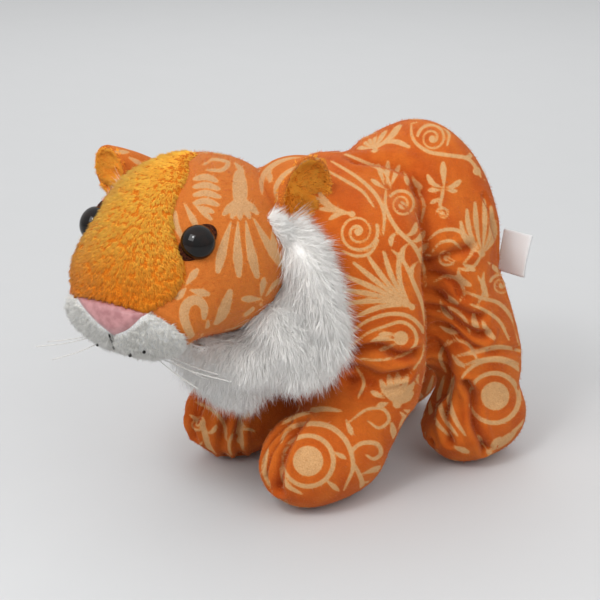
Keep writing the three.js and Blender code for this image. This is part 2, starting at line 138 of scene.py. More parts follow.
@dataclass(frozen=True)
class PhotoView:
    """The camera of the photograph, solved from the paws on the floor and the pair of eyes."""

    axes: ViewAxes = ViewAxes(56.0, 20.0)
    target: Point3 = (-22.39, 19.87, 75.0)
    distance: float = 850.0
    image_size: int = 600
    pixels_per_mm: float = 2.08
    sensor_width: float = 36.0
    search_reach: int = 160
    search_step: int = 8

    @property
    def place(self) -> Array:
        """Where the camera stands."""
        return np.array(self.target) + self.axes.towards * self.distance

    @property
    def focal_pixels(self) -> float:
        """Focal length in pixels of the photograph."""
        return self.pixels_per_mm * self.distance

    def pixels(self, points: Array) -> Array:
        """Where points land on the photograph.

        Args:
            points: Row-frame points, one row each.

        Returns:
            Pixel columns and rows, measured right and down.
        """
        away = points - self.place
        depth = -away @ self.axes.towards
        across = away @ self.axes.right / depth
        down = -(away @ self.axes.up) / depth
        return self.image_size / 2 + self.focal_pixels * np.stack([across, down], axis=1)

    def ray(self, pixel: Point2) -> Array:
        """Direction from the camera through one pixel."""
        across = (pixel[0] - self.image_size / 2) / self.focal_pixels
        down = (pixel[1] - self.image_size / 2) / self.focal_pixels
        return unit(self.axes.right * across - self.axes.up * down - self.axes.towards)

    def hit(self, skin: BVHTree, pixel: Point2) -> tuple[Array, Array]:
        """The point of a skin that a pixel sees, or the one nearest to its line, and the way out of it."""
        start, ray = Vector(self.place * MM), Vector(self.ray(pixel))
        place, normal, _, _ = skin.ray_cast(start, ray)
        if place is None:
            steps = range(-self.search_reach, self.search_reach + 1, self.search_step)
            beside = [skin.find_nearest(start + ray * (self.distance + step) * MM) for step in steps]
            place, normal, _, _ = min(beside, key=lambda found: found[3])
        return np.array(place) / MM, np.array(normal)

    def build_camera(self) -> None:
        """Create the camera and make it the scene's own."""
        lens = bpy.data.cameras.new("photo_camera")
        lens.sensor_width = self.sensor_width
        lens.lens = self.focal_pixels / self.image_size * self.sensor_width
        camera = bpy.data.objects.new("photo_camera", lens)
        turn = Matrix((self.axes.right, self.axes.up, self.axes.towards)).transposed()
        camera.matrix_world = Matrix.Translation(Vector(self.place * MM)) @ turn.to_4x4()
        bpy.context.scene.collection.objects.link(camera)
        bpy.context.scene.camera = camera


PHOTO = PhotoView()


# Meshes

def link(name: str, mesh: bpy.types.Mesh) -> bpy.types.Object:
    """Put a mesh into the scene as an object at the origin."""
    piece = bpy.data.objects.new(name, mesh)
    bpy.context.scene.collection.objects.link(piece)
    return piece


def piece_from(name: str, shape: bmesh.types.BMesh) -> bpy.types.Object:
    """Write a bmesh in metres to a new smooth-shaded object and free it."""
    bmesh.ops.recalc_face_normals(shape, faces=shape.faces)
    mesh = bpy.data.meshes.new(name)
    shape.to_mesh(mesh)
    shape.free()
    mesh.shade_smooth()
    return link(name, mesh)


def node_shape(*nodes: str) -> bmesh.types.BMesh:
    """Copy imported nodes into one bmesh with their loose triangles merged."""
    weld = 0.01 * MM
    shape = bmesh.new()
    for node in nodes:
        shape.from_mesh(frame["nodes"][node].data)
    bmesh.ops.remove_doubles(shape, verts=shape.verts, dist=weld)
    return shape


def add_wad(shape: bmesh.types.BMesh, centre: Point3, radii: Point3) -> None:
    """Add a stretched ball, in millimetres, to a shape that is remeshed afterwards."""
    place = Matrix.Translation(Vector(centre) * MM) @ Matrix.Diagonal((*radii, 1))
    bmesh.ops.create_icosphere(shape, subdivisions=3, radius=MM, matrix=place)


def places(piece: bpy.types.Object) -> Array:
    """A piece's vertices in millimetres."""
    flat = np.empty(len(piece.data.vertices) * 3, np.float32)
    piece.data.vertices.foreach_get("co", flat)
    return flat.reshape(-1, 3).astype(float) / MM


def move_to(piece: bpy.types.Object, points: Array) -> None:
    """Write a piece's vertices, given in millimetres."""
    piece.data.vertices.foreach_set("co", (points * MM).astype(np.float32).ravel())
    piece.data.update()


def normals(piece: bpy.types.Object) -> Array:
    """A piece's outward directions at its vertices."""
    flat = np.empty(len(piece.data.vertices) * 3, np.float32)
    piece.data.vertex_normals.foreach_get("vector", flat)
    return flat.reshape(-1, 3).astype(float)


def store(piece: bpy.types.Object, name: str, values: Array) -> None:
    """Keep one number for each vertex of a piece, for its material."""
    attribute = piece.data.attributes.get(name) or piece.data.attributes.new(name, "FLOAT", "POINT")
    attribute.data.foreach_set("value", values.astype(np.float32))


def finished(piece: bpy.types.Object, kind: str, **settings: object) -> None:
    """Add one modifier to a piece and apply it to the mesh."""
    modifier = piece.modifiers.new(kind.lower(), kind)
    for key, value in settings.items():
        setattr(modifier, key, value)
    graph = bpy.context.evaluated_depsgraph_get()
    mesh = bpy.data.meshes.new_from_object(piece.evaluated_get(graph))
    piece.modifiers.clear()
    plain, piece.data = piece.data, mesh
    mesh.name = piece.name
    bpy.data.meshes.remove(plain)
    mesh.shade_smooth()


def relaxed(piece: bpy.types.Object, rounds: int, factor: float = 0.5) -> None:
    """Smooth a piece's vertices a number of times."""
    shape = bmesh.new()
    shape.from_mesh(piece.data)
    for _ in range(rounds):
        bmesh.ops.smooth_vert(
            shape, verts=shape.verts, factor=factor, use_axis_x=True, use_axis_y=True, use_axis_z=True)
    shape.to_mesh(piece.data)
    shape.free()


def skin_tree(piece: bpy.types.Object) -> BVHTree:
    """A search tree over a piece's faces, in metres."""
    shape = bmesh.new()
    shape.from_mesh(piece.data)
    tree = BVHTree.FromBMesh(shape)
    shape.free()
    return tree


def subdivided(piece: bpy.types.Object, levels: int) -> None:
    """Smooth a piece by splitting its faces a number of times."""
    finished(piece, "SUBSURF", levels=levels, render_levels=levels)


def moved(point: Array) -> Matrix:
    """The move to a point given in millimetres."""
    return Matrix.Translation(Vector(point * MM))


def nearest(skin: BVHTree, point: Array) -> tuple[Array, Array, float]:
    """The place on a skin that is closest to a point, the outward direction there and the gap."""
    place, out, _, gap = skin.find_nearest(Vector(point * MM))
    return np.array(place) / MM, np.array(out), gap / MM


@dataclass(frozen=True)
class Stuffing:
    """How a cover is made from packed forms: joined, rounded off and swelled by its filling."""

    voxel: float
    rounds: int
    pressure: float
    swell_cap: float
    frames: int = 12
    stretch_stiffness: float = 15.0
    bend_stiffness: float = 0.5

    def cover(self, name: str, nodes: Sequence[str], *fillers: tuple[Point3, Point3]) -> bpy.types.Object:
        """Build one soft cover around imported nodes.

        Args:
            name: The new piece's name.
            nodes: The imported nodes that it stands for.
            fillers: Centres and radii of wads of filling that round it off between them.

        Returns:
            The cover, as a coarse mesh of even squares.
        """
        shape = node_shape(*nodes)
        for centre, radii in fillers:
            add_wad(shape, centre, radii)
        piece = piece_from(name, shape)
        finished(piece, "REMESH", mode="VOXEL", voxel_size=self.voxel * MM)
        relaxed(piece, self.rounds)
        if self.pressure > 0:
            self.swell(piece)
        return piece

    def swell(self, piece: bpy.types.Object) -> None:
        """Press the cover out from inside with Blender's cloth, and keep the result."""
        before = places(piece)
        floor = before[:, 2].min()
        cloth = piece.modifiers.new("filling", "CLOTH")
        cloth.settings.effector_weights.gravity = 0
        cloth.settings.use_pressure = True
        cloth.settings.uniform_pressure_force = self.pressure
        cloth.settings.tension_stiffness = self.stretch_stiffness
        cloth.settings.compression_stiffness = self.stretch_stiffness
        cloth.settings.bending_stiffness = self.bend_stiffness
        cloth.point_cache.frame_start = 1
        cloth.point_cache.frame_end = self.frames
        scene = bpy.context.scene
        for step in range(1, self.frames + 1):
            scene.frame_set(step)
        graph = bpy.context.evaluated_depsgraph_get()
        result = piece.evaluated_get(graph).to_mesh()
        flat = np.empty(len(result.vertices) * 3, np.float32)
        result.vertices.foreach_get("co", flat)
        piece.evaluated_get(graph).to_mesh_clear()
        piece.modifiers.clear()
        scene.frame_set(1)
        step = flat.reshape(-1, 3).astype(float) / MM - before
        length = np.linalg.norm(step, axis=1, keepdims=True)
        after = before + step * np.minimum(1.0, self.swell_cap / np.maximum(length, TINY))
        after[:, 2] = np.maximum(after[:, 2], floor)
        move_to(piece, after)


# Lines and regions on the cloth

def smooth_line(points: Sequence[Sequence[float]], steps: int = 6) -> Array:
    """Run a smooth line through points.

    Args:
        points: The points, in two or three dimensions, with any widths as further columns.
        steps: Pieces between neighbouring points.

    Returns:
        The line's points, ends included.
    """
    p = np.asarray(points, float)
    if len(p) < 3:
        share = np.linspace(0, 1, steps + 1)[:, None]
        return p[0] + (p[-1] - p[0]) * share
    padded = np.vstack([2 * p[0] - p[1], p, 2 * p[-1] - p[-2]])
    t = np.linspace(0, 1, steps, endpoint=False)[:, None]
    parts = []
    for a, b, c, d in zip(padded, padded[1:], padded[2:], padded[3:]):
        parts.append(b + t * (c - a) / 2 + t ** 2 * (2 * a - 5 * b + 4 * c - d) / 2
                     + t ** 3 * (3 * b - a - 3 * c + d) / 2)
    parts.append(p[-1:])
    return np.vstack(parts)


def depth_in_line(points: Array, line: Array, halves: Array) -> Array:
    """How far points lie inside a drawn line; negative outside.

    Args:
        points: The points to measure.
        line: The line's points.
        halves: The line's half width at each of its points.

    Returns:
        Half width less distance, at the nearest part of the line.
    """
    best = np.full(len(points), -np.inf)
    for a, b, ha, hb in zip(line, line[1:], halves, halves[1:]):
        run = b - a
        t = np.clip((points - a) @ run / max(run @ run, 1e-9), 0, 1)
        gap = np.linalg.norm(points - a - t[:, None] * run, axis=1)
        best = np.maximum(best, ha + (hb - ha) * t - gap)
    return best


def depth_in_outline(points: Array, outline: Array) -> Array:
    """How far flat points lie inside a closed outline; negative outside."""
    closed = np.vstack([outline, outline[:1]])
    edge = -depth_in_line(points, closed, np.zeros(len(closed)))
    inside = np.zeros(len(points), bool)
    for (x1, y1), (x2, y2) in zip(closed, closed[1:]):
        crosses = (y1 > points[:, 1]) != (y2 > points[:, 1])
        rise = y2 - y1 if y2 != y1 else 1e-9
        inside ^= crosses & (points[:, 0] < (x2 - x1) * (points[:, 1] - y1) / rise + x1)
    return np.where(inside, edge, -edge)


def ease(values: Array, low: float, high: float) -> Array:
    """Rise smoothly from 0 at low to 1 at high."""
    t = np.clip((values - low) / (high - low), 0, 1)
    return t * t * (3 - 2 * t)


@dataclass(frozen=True)
class Stroke:
    """One drawn line of the print, in pixels of the photograph."""

    line: Array
    halves: Array


class Motif:
    """The shapes that the scroll print is drawn with."""

    @staticmethod
    def stem(points: Sequence[Point2], width: float, end_width: float = 1.2) -> list[Stroke]:
        """A stem that thickens in its middle and thins out at its ends."""
        line = smooth_line(points)
        share = np.linspace(0, 1, len(line))
        halves = end_width / 2 + (width - end_width) / 2 * np.sin(np.pi * share) ** 0.6
        return [Stroke(line, halves)]

    @staticmethod
    def drop(base: Point2, tip: Point2, width: float, bend: float = 0.0) -> list[Stroke]:
        """A leaf like a drop: thin at its base and round and full near its tip."""
        start, end = np.array(base, float), np.array(tip, float)
        run = end - start
        side = np.array([-run[1], run[0]])
        share = np.linspace(0, 1, 7)[:, None]
        line = start + run * share + side * bend * np.sin(np.pi * share)
        halves = width / 2 * np.interp(share[:, 0], [0, 0.3, 0.72, 1], [0.15, 0.55, 1.0, 0.5])
        return [Stroke(line, halves)]

    @staticmethod
    def blob(centre: Point2, radius: float) -> list[Stroke]:
        """A round dot."""
        point = np.array(centre, float)
        return [Stroke(np.array([point, point + 0.1]), np.array([radius, radius]))]

    @staticmethod
    def arc(centre: Point2, radius: float, width: float, start: float, end: float) -> list[Stroke]:
        """Part of a ring, between two angles in degrees."""
        angles = np.radians(np.linspace(start, end, 25))
        line = np.array(centre) + radius * np.stack([np.cos(angles), np.sin(angles)], axis=1)
        share = np.linspace(0, 1, len(line))
        return [Stroke(line, width / 2 * (0.45 + 0.55 * np.sin(np.pi * share) ** 0.5))]

    @staticmethod
    def spiral(centre: Point2, radius: float, width: float, start: float,
               turns: float = 1.4) -> list[Stroke]:
        """A scroll that winds in to a round eye; negative turns wind the other way."""
        share = np.linspace(0, 1, int(26 * abs(turns)) + 2)
        angles = math.radians(start) + 2 * np.pi * turns * share
        reach = radius * (1 - share) ** 0.85 + radius * 0.12
        line = np.array(centre) + reach[:, None] * np.stack([np.cos(angles), np.sin(angles)], axis=1)
        halves = width / 2 * (0.75 + 0.25 * np.cos(2 * np.pi * share))
        return [Stroke(line, halves)] + Motif.blob(centre, max(radius * 0.2, width * 0.6))

    @staticmethod
    def fan(base: Point2, tips: Sequence[Point2], width: float, bend: float = 0.08) -> list[Stroke]:
        """Leaves that spread from one base."""
        middle = (len(tips) - 1) / 2
        strokes = Motif.blob(base, width * 0.55)
        for place, tip in enumerate(tips):
            strokes += Motif.drop(base, tip, width, bend * (place - middle) / max(middle, 1))
        return strokes

    @staticmethod
    def turned(strokes: Iterable[Stroke], centre: Point2, degrees: float, scale: float,
               flip: bool) -> list[Stroke]:
        """Place strokes drawn about the origin: scaled, mirrored, turned and moved."""
        a = math.radians(degrees)
        turn = np.array([[math.cos(a), math.sin(a)], [-math.sin(a), math.cos(a)]])
        mirror = np.array([-1.0 if flip else 1.0, 1.0])
        return [Stroke((stroke.line * scale * mirror) @ turn + np.array(centre), stroke.halves * scale)
                for stroke in strokes]

    @staticmethod
    def scroll_spray() -> list[Stroke]:
        """A scroll on a curving stem with side leaves, drawn about the origin."""
        return (Motif.spiral((0, -16), 15, 4.2, 90, -1.4)
                + Motif.stem([(0, -1), (14, 3), (24, 14), (22, 30), (10, 40)], 4.4)
                + Motif.drop((23, 16), (36, 4), 6.5, 0.2) + Motif.drop((24, 22), (38, 24), 6, -0.2)
                + Motif.drop((12, 39), (-6, 34), 7, 0.25) + Motif.drop((10, 40), (0, 48), 6, -0.2)
                + Motif.blob((30, 12), 2.4))

    @staticmethod
    def palmette() -> list[Stroke]:
        """A shell of leaves over two small scrolls, drawn about the origin."""
        spread = [math.radians(a) for a in (-160, -136, -113, -90, -67, -44, -20)]
        tips = [(27 * math.cos(a), 10 + 31 * math.sin(a)) for a in spread]
        return (Motif.fan((0, 10), tips, 7.5) + Motif.spiral((-12, 19), 7, 3, 0, 1.1)
                + Motif.spiral((12, 19), 7, 3, 180, -1.1) + Motif.drop((0, 14), (0, 30), 6))

    @staticmethod
    def sprig() -> list[Stroke]:
        """Three petals on a short curling stem, drawn about the origin."""
        return (Motif.drop((0, 0), (0, -19), 9) + Motif.drop((-2, 1), (-17, -10), 7, -0.15)
                + Motif.drop((2, 1), (17, -10), 7, 0.15)
                + Motif.stem([(0, 2), (-3, 14), (-11, 22), (-18, 17)], 3.6)
                + Motif.blob((-17, 15), 3.2) + Motif.drop((-2, 13), (10, 22), 5.5, 0.2))

    @staticmethod
    def rosette() -> list[Stroke]:
        """A disc in a broken ring with short spurs, drawn about the origin."""
        middle, base, tip = (0, 0), 18, 30
        rings = Motif.arc(middle, 17, 4, -60, 200) + Motif.arc(middle, 26, 3.6, 30, 160)
        strokes = Motif.blob(middle, 9) + rings
        for degrees in (-75, -25, 20, 110, 170):
            a = math.radians(degrees)
            strokes += Motif.drop(
                (base * math.cos(a), base * math.sin(a)), (tip * math.cos(a), tip * math.sin(a)), 5)
        return strokes


# The scrolls on the side that the photograph shows, drawn one by one

@dataclass(frozen=True)
class Drawing:
    """One part of the print: what each kind of motif takes, with places in pixels of the photograph."""

    spirals: tuple = ()
    stems: tuple = ()
    drops: tuple = ()
    arcs: tuple = ()
    blobs: tuple = ()
    fans: tuple = ()

    def strokes(self) -> list[Stroke]:
        """All its strokes."""
        kinds = ((Motif.spiral, self.spirals), (Motif.stem, self.stems), (Motif.drop, self.drops),
                 (Motif.arc, self.arcs), (Motif.blob, self.blobs), (Motif.fan, self.fans))
        return [stroke for kind, rows in kinds for row in rows for stroke in kind(*row)]


# The scrolls, sprig and shell on the rump and haunch
HAUNCH_PRINT = Drawing(
    spirals=(
        ((432, 138), 13, 2.8, 190, 1.9), ((443, 214), 6, 2.4, 200, 1.3), ((446, 257), 8, 2.6, 30, 1.4),
        ((501, 285), 10, 2.6, 200, 1.8),
    ),
    stems=(
        (((411, 123), (413, 139), (427, 151), (447, 155), (466, 158), (475, 166), (481, 177)), 3.6),
        (((412, 123), (424, 120), (440, 124), (449, 134), (447, 146)), 3),
        (((444, 186), (442, 196), (440, 204), (441, 210)), 3.4),
        (((482, 254), (476, 264), (468, 270), (458, 268)), 3),
        (((428, 240), (440, 231), (456, 230), (469, 239), (472, 252), (463, 264)), 3.6),
        (((432, 252), (440, 243), (452, 241), (461, 249)), 2.8),
        (((466, 292), (482, 298), (500, 304), (514, 322), (519, 345)), 3.6),
        (((470, 304), (486, 311), (500, 322), (509, 340)), 3.2),
        (((434, 282), (446, 276), (458, 280), (464, 292), (458, 304)), 3.2),
        (((436, 312), (450, 308), (464, 318), (470, 334)), 3.2),
        (((446, 346), (456, 340), (470, 346), (478, 362)), 3), (((478, 276), (484, 290), (478, 304)), 3),
        (((500, 240), (504, 252), (500, 266)), 3), (((456, 356), (475, 352), (500, 347), (525, 352)), 4.5),
        (((462, 366), (480, 360), (502, 358), (524, 366)), 3),
    ) + tuple(
        (((433 + shift, 376), (428 + shift, 398), (434 + shift, 419), (449 + shift * 0.8, 436)), 4.8)
        for shift in (0, 11, 21)
    ),
    drops=(
        ((458, 156), (474, 148), 5, 0.3), ((484, 180), (494, 176), 4.5), ((488, 160), (480, 148), 5, 0.2),
        ((470, 140), (460, 128), 5, 0.2), ((376, 146), (409, 147), 5.5, -0.16), ((444, 186), (443, 163), 7),
        ((441, 187), (428, 176), 6, -0.15), ((447, 187), (460, 181), 6, 0.1), ((440, 190), (429, 190), 5),
        ((447, 190), (456, 191), 5), ((440, 198), (431, 203), 4.5), ((463, 264), (474, 270), 6),
        ((458, 268), (470, 285), 7, 0.2), ((484, 272), (487, 296), 6, 0.1),
        ((474, 310), (478, 330), 7, 0.1), ((482, 318), (494, 338), 7, 0.1),
        ((443, 290), (457, 303), 6, 0.1), ((440, 300), (452, 318), 6, 0.1),
        ((440, 326), (458, 332), 6, 0.1), ((452, 354), (464, 366), 5.5, 0.1), ((488, 262), (499, 272), 5),
        ((498, 452), (512, 447), 6), ((452, 446), (468, 452), 6), ((484, 446), (478, 436), 5),
    ),
    arcs=(
        ((494, 398), 25, 4.6, -165, 165), ((494, 398), 38, 4, -150, 60),
    ),
    blobs=(
        ((477, 171), 4), ((495, 396), 14),
    ),
    fans=(
        ((482, 254), ((461, 222), (467, 210), (475, 203), (484, 200), (491, 207), (494, 220)), 5.4, 0.16),
        ((489, 452), ((500, 438), (510, 434), (517, 428)), 5.5),
    ),
)
# The fans and long stems on the back and side
BACK_PRINT = Drawing(
    spirals=(
        ((402, 204), 12.5, 2.8, 215, 1.9),
    ),
    stems=(
        (((331, 161), (357, 177), (376, 195), (384, 214), (383, 236)), 3.6),
        (((322, 168), (346, 181), (363, 192), (374, 207)), 3),
        (((340, 152), (362, 161), (384, 172), (391, 188)), 3),
        (((386, 189), (386, 208), (397, 229), (414, 246), (423, 266), (426, 288)), 4),
        (((418, 190), (424, 205), (421, 222)), 3),
    ),
    drops=(
        ((384, 184), (378, 165), 5), ((387, 184), (388, 162), 5.5), ((391, 185), (399, 166), 5.5),
        ((384, 188), (372, 180), 5), ((405, 236), (416, 224), 6, 0.2), ((411, 242), (424, 232), 6.5, 0.15),
        ((416, 250), (427, 244), 6, 0.15), ((420, 258), (430, 256), 5), ((398, 232), (391, 245), 5.5, 0.2),
        ((408, 244), (403, 258), 5.5, 0.2), ((418, 262), (412, 276), 5, 0.2),
        ((412, 176), (422, 188), 6, 0.1), ((404, 172), (408, 184), 5),
    ),
    fans=(
        ((374, 149), ((342, 139), (350, 127), (362, 121), (375, 117), (389, 117), (402, 121)), 6.6),
        ((352, 214), ((317, 188), (316, 198), (320, 209), (330, 219)), 5.5, 0.14),
    ),
)
# The large scroll, leaves and curls on the shoulder and the near foreleg
SHOULDER_PRINT = Drawing(
    spirals=(
        ((358, 232), 18, 3.2, 340, 2.1), ((421, 378), 4.5, 2.4, 90, 1.2),
    ),
    stems=(
        (((379, 240), (370, 253), (356, 256), (342, 251)), 3),
        (((392, 250), (404, 262), (415, 286), (423, 307), (426, 330)), 4),
        (((350, 334), (367, 321), (390, 314), (410, 317), (424, 333), (423, 356), (411, 372)), 3.8),
        (((352, 345), (368, 333), (386, 326), (402, 322), (414, 330), (416, 343), (405, 354), (380, 360),
            (355, 358)), 3.2),
        (((356, 367), (364, 382), (358, 398)), 3),
        (((348, 423), (366, 410), (383, 409), (389, 420), (379, 428), (368, 421)), 3.2),
        (((352, 461), (353, 450), (363, 443), (377, 444), (381, 453), (374, 459), (366, 455)), 4.2),
        (((352, 460), (362, 482), (359, 498)), 4.6),
        (((280, 444), (288, 430), (304, 424), (328, 426), (346, 441), (353, 466), (344, 490)), 5),
        (((268, 450), (264, 468), (270, 488)), 5), (((280, 466), (286, 484), (302, 494)), 4.5),
        (((282, 424), (300, 414), (322, 409), (342, 411)), 5.5),
    ),
    drops=(
        ((394, 340), (372, 342), 7, 0.1), ((396, 334), (380, 334), 5), ((396, 344), (380, 350), 5),
        ((384, 398), (372, 392), 6), ((388, 403), (378, 406), 6), ((418, 390), (424, 402), 5),
        ((396, 446), (392, 424), 6.5), ((400, 446), (403, 420), 7), ((404, 446), (414, 425), 6.5),
        ((404, 410), (416, 414), 6), ((400, 412), (408, 420), 5), ((362, 474), (382, 467), 6),
        ((364, 482), (378, 484), 5.5), ((366, 490), (376, 496), 5), ((346, 420), (352, 434), 6),
        ((334, 452), (345, 458), 5), ((326, 480), (338, 490), 5.5), ((330, 300), (318, 292), 5),
        ((332, 306), (322, 314), 5),
    ),
    arcs=(
        ((308, 461), 25.5, 4.6, -180, 180),
    ),
    blobs=(
        ((401, 338), 7), ((308, 461), 15),
    ),
    fans=(
        ((412, 307), ((399, 254), (384, 252), (368, 256), (354, 263), (346, 276), (342, 290), (346, 304),
            (358, 316)), 5.6, 0.1),
        ((397, 404), ((381, 381), (389, 376), (398, 374), (407, 376), (413, 383), (412, 393)), 7.5),
    ),
)
# The scrolls on the far forepaw and the inner legs
PAW_PRINT = Drawing(
    spirals=(
        ((197, 424), 7, 2.6, 300, 1.4),
    ),
    stems=(
        (((190, 415), (202, 425), (208, 445), (216, 456)), 5.5), (((238, 404), (239, 425), (243, 450)), 6),
        (((196, 402), (212, 410), (224, 424), (226, 440)), 3.4),
        (((448, 340), (440, 356), (446, 372)), 3.4),
    ),
    drops=(
        ((206, 433), (216, 426), 5, 0.2), ((240, 420), (252, 412), 6), ((234, 430), (244, 424), 5),
        ((202, 442), (196, 452), 5.5),
    ),
    arcs=(
        ((246, 446), 17, 3.2, 150, 300),
    ),
    blobs=(
        ((240, 440), 3.4),
    ),
    fans=(
        ((412, 452), ((402, 440), (410, 436), (420, 440)), 4.5),
    ),
)
# The leaves on the head: a tuft over long drops, a spray on the cheek and small leaves round them
CHEEK_PRINT = Drawing(
    stems=(
        (((239, 174), (240, 190), (240, 206)), 15, 9),
        (((199, 349), (190, 333), (184, 317), (187, 304), (197, 300), (204, 307), (204, 318)), 10, 4),
        (((175, 212), (176, 224), (182, 238)), 6, 3),
        (((203, 165), (214, 159), (228, 162), (222, 170), (206, 170)), 4.5),
        (((262, 194), (262, 179), (271, 166), (286, 158), (303, 156)), 6),
        (((277, 202), (276, 187), (284, 175), (297, 166)), 5),
    ) + tuple(
        (((194, row), (206, row - 2), (end, row + 2)), 6.5, 3)
        for row, end in ((179, 217), (187, 219), (195, 220), (203, 218))
    ),
    drops=(
        ((206, 344), (230, 292), 12, 0.04), ((211, 341), (233, 320), 5), ((213, 343), (253, 309), 8, 0.03),
        ((207, 340), (208, 321), 5), ((184, 203), (197, 227), 7), ((193, 203), (211, 219), 6),
        ((199, 206), (213, 212), 6), ((233, 160), (243, 172), 6), ((250, 158), (257, 170), 5),
        ((270, 168), (270, 182), 6), ((186, 285), (197, 270), 8), ((186, 288), (177, 298), 8),
        ((190, 290), (208, 294), 8.5), ((261, 296), (264, 279), 7), ((266, 296), (279, 280), 7),
        ((261, 299), (243, 299), 7.5), ((262, 300), (270, 308), 4), ((272, 232), (275, 250), 7),
        ((284, 238), (291, 260), 6), ((302, 163), (322, 157), 5), ((110, 152), (128, 152), 5),
        ((128, 157), (141, 164), 5),
    ) + tuple(
        ((240, 196), tip, 8) for tip in ((224, 214), (232, 217), (240, 218), (249, 217), (257, 213))
    ) + tuple(
        (base, tip, 10.5, 0.02) for base, tip in (
            ((231, 222), (218, 271)), ((238, 222), (239, 275)),
            ((246, 221), (257, 276)), ((254, 219), (284, 268)))
    ),
    blobs=(
        ((262, 305), 2.6),
    ),
)


# The same kinds of motif, scattered over the sides that the photograph doesn't show

@dataclass(frozen=True)
class Chart:
    """A flat drawing laid over the side of the tiger that faces one way."""

    axes: ViewAxes
    strokes: tuple[Stroke, ...]
    photographed: bool = False
    reach: float = 9.0
    bold: float = 0.22

    def flat(self, points: Array) -> Array:
        """Lay row-frame points on the drawing, in its pixels."""
        if self.photographed:
            return PHOTO.pixels(points)
        return np.stack([points @ self.axes.right, -points @ self.axes.up], axis=1) * PHOTO.pixels_per_mm

    def depth(self, points: Array) -> Array:
        """Millimetres inside the nearest drawn shape; negative on bare ground."""
        flat = self.flat(points)
        best = np.full(len(points), -self.reach)
        for stroke in self.strokes:
            margin = self.reach + stroke.halves.max()
            low, high = stroke.line.min(0) - margin, stroke.line.max(0) + margin
            near = np.flatnonzero(((flat > low) & (flat < high)).all(1))
            if len(near):
                best[near] = np.maximum(best[near], depth_in_line(flat[near], stroke.line, stroke.halves))
        return best / PHOTO.pixels_per_mm + self.bold


def scattered_strokes(seed: int, half_span: float = 330.0, pitch: float = 66.0, stray: float = 5.0,
                      row_share: float = 0.86) -> tuple[Stroke, ...]:
    """Scatter the print's motifs on a staggered grid, each turned and mirrored by chance.

    Args:
        seed: Start of the random draws.
        half_span: Half the side of the drawn square, in pixels.
        pitch: Distance between motifs, in pixels.
        stray: How far a motif may lie off its place, in pixels.
        row_share: Distance between rows as a share of the pitch.

    Returns:
        All strokes of the drawing.
    """
    draw = np.random.default_rng(seed)
    kinds = (Motif.scroll_spray, Motif.palmette, Motif.scroll_spray, Motif.sprig, Motif.rosette)
    strokes: list[Stroke] = []
    steps = int(half_span / pitch)
    for row in range(-steps, steps + 1):
        for column in range(-steps, steps + 1):
            centre = ((column + 0.5 * (row % 2)) * pitch, row * pitch * row_share)
            place = (centre[0] + draw.uniform(-stray, stray), centre[1] + draw.uniform(-stray, stray))
            kind = kinds[(column + 2 * row) % len(kinds)]
            strokes += Motif.turned(
                kind(), place, draw.uniform(0, 360), draw.uniform(0.86, 1.05), draw.random() < 0.5)
    return tuple(strokes)


class Print:
    """The scroll print of the whole tiger."""

    other_sides: tuple[Point2, ...] = ((146, 10), (236, 10), (326, 10), (56, 84), (56, -84))
    first_seed: int = 7
    fade: float = 5.0
    turned_away: tuple[float, float] = (0.2, 0.4)
    hand_over: tuple[float, float] = (-0.12, 0.02)

    def __init__(self) -> None:
        """Draw the photographed side and scatter motifs over the others."""
        drawn = (HAUNCH_PRINT, BACK_PRINT, SHOULDER_PRINT, PAW_PRINT, CHEEK_PRINT)
        shown = tuple(stroke for part in drawn for stroke in part.strokes())
        self.front = Chart(PHOTO.axes, shown, photographed=True)
        self.others = [Chart(ViewAxes(*side), scattered_strokes(seed))
                       for seed, side in enumerate(self.other_sides, self.first_seed)]

    def ink(self, points: Array, facing: Array) -> Array:
        """The print's depth at points of the cloth.

        Args:
            points: Points of the cloth.
            facing: Outward directions there.

        Returns:
            Millimetres inside the pale shapes; negative on the orange ground.
        """
        own = ease(facing @ self.front.axes.towards, *self.turned_away)
        best = self.front.depth(points) - self.fade * (1 - own)
        alignment = np.stack([facing @ chart.axes.towards for chart in self.others])
        for place, chart in enumerate(self.others):
            lead = alignment[place] - np.delete(alignment, place, axis=0).max(0)
            share = ease(lead, *self.hand_over) * (1 - own)
            shown = np.flatnonzero(share > 0)
            depth = chart.depth(points[shown]) - self.fade * (1 - share[shown])
            best[shown] = np.maximum(best[shown], depth)
        return best

    def laid_on(self, piece: bpy.types.Object, light_and_pile_fade: float, fold: Array | None = None) -> None:
        """Keep the print's depth, how far it fades (partly painted light), and the folds' depth that paints
        shade into them, on a piece, for its material.
        """
        points = places(piece)
        store(piece, "ink", self.ink(points, normals(piece)))
        store(piece, "fold", np.zeros(len(points)) if fold is None else fold)
        store(piece, "light_and_pile_fade", np.full(len(points), light_and_pile_fade))


# Finishes

TRACKS = "OFBake"
WHITE = (1.0, 1.0, 1.0, 1.0)
# A colour mix has inputs for numbers and vectors before its own, and so has its output
MIX_INPUTS, MIX_OUTPUT = (0, 6, 7), 2


def linear(colour: Colour, shade: float = 1.0) -> Tint:
    """Turn an sRGB colour into the linear values that shaders take."""
    parts = [c / 255 for c in colour]
    values = [c / 12.92 if c <= 0.04045 else ((c + 0.055) / 1.055) ** 2.4 for c in parts]
    return (values[0] * shade, values[1] * shade, values[2] * shade, 1.0)


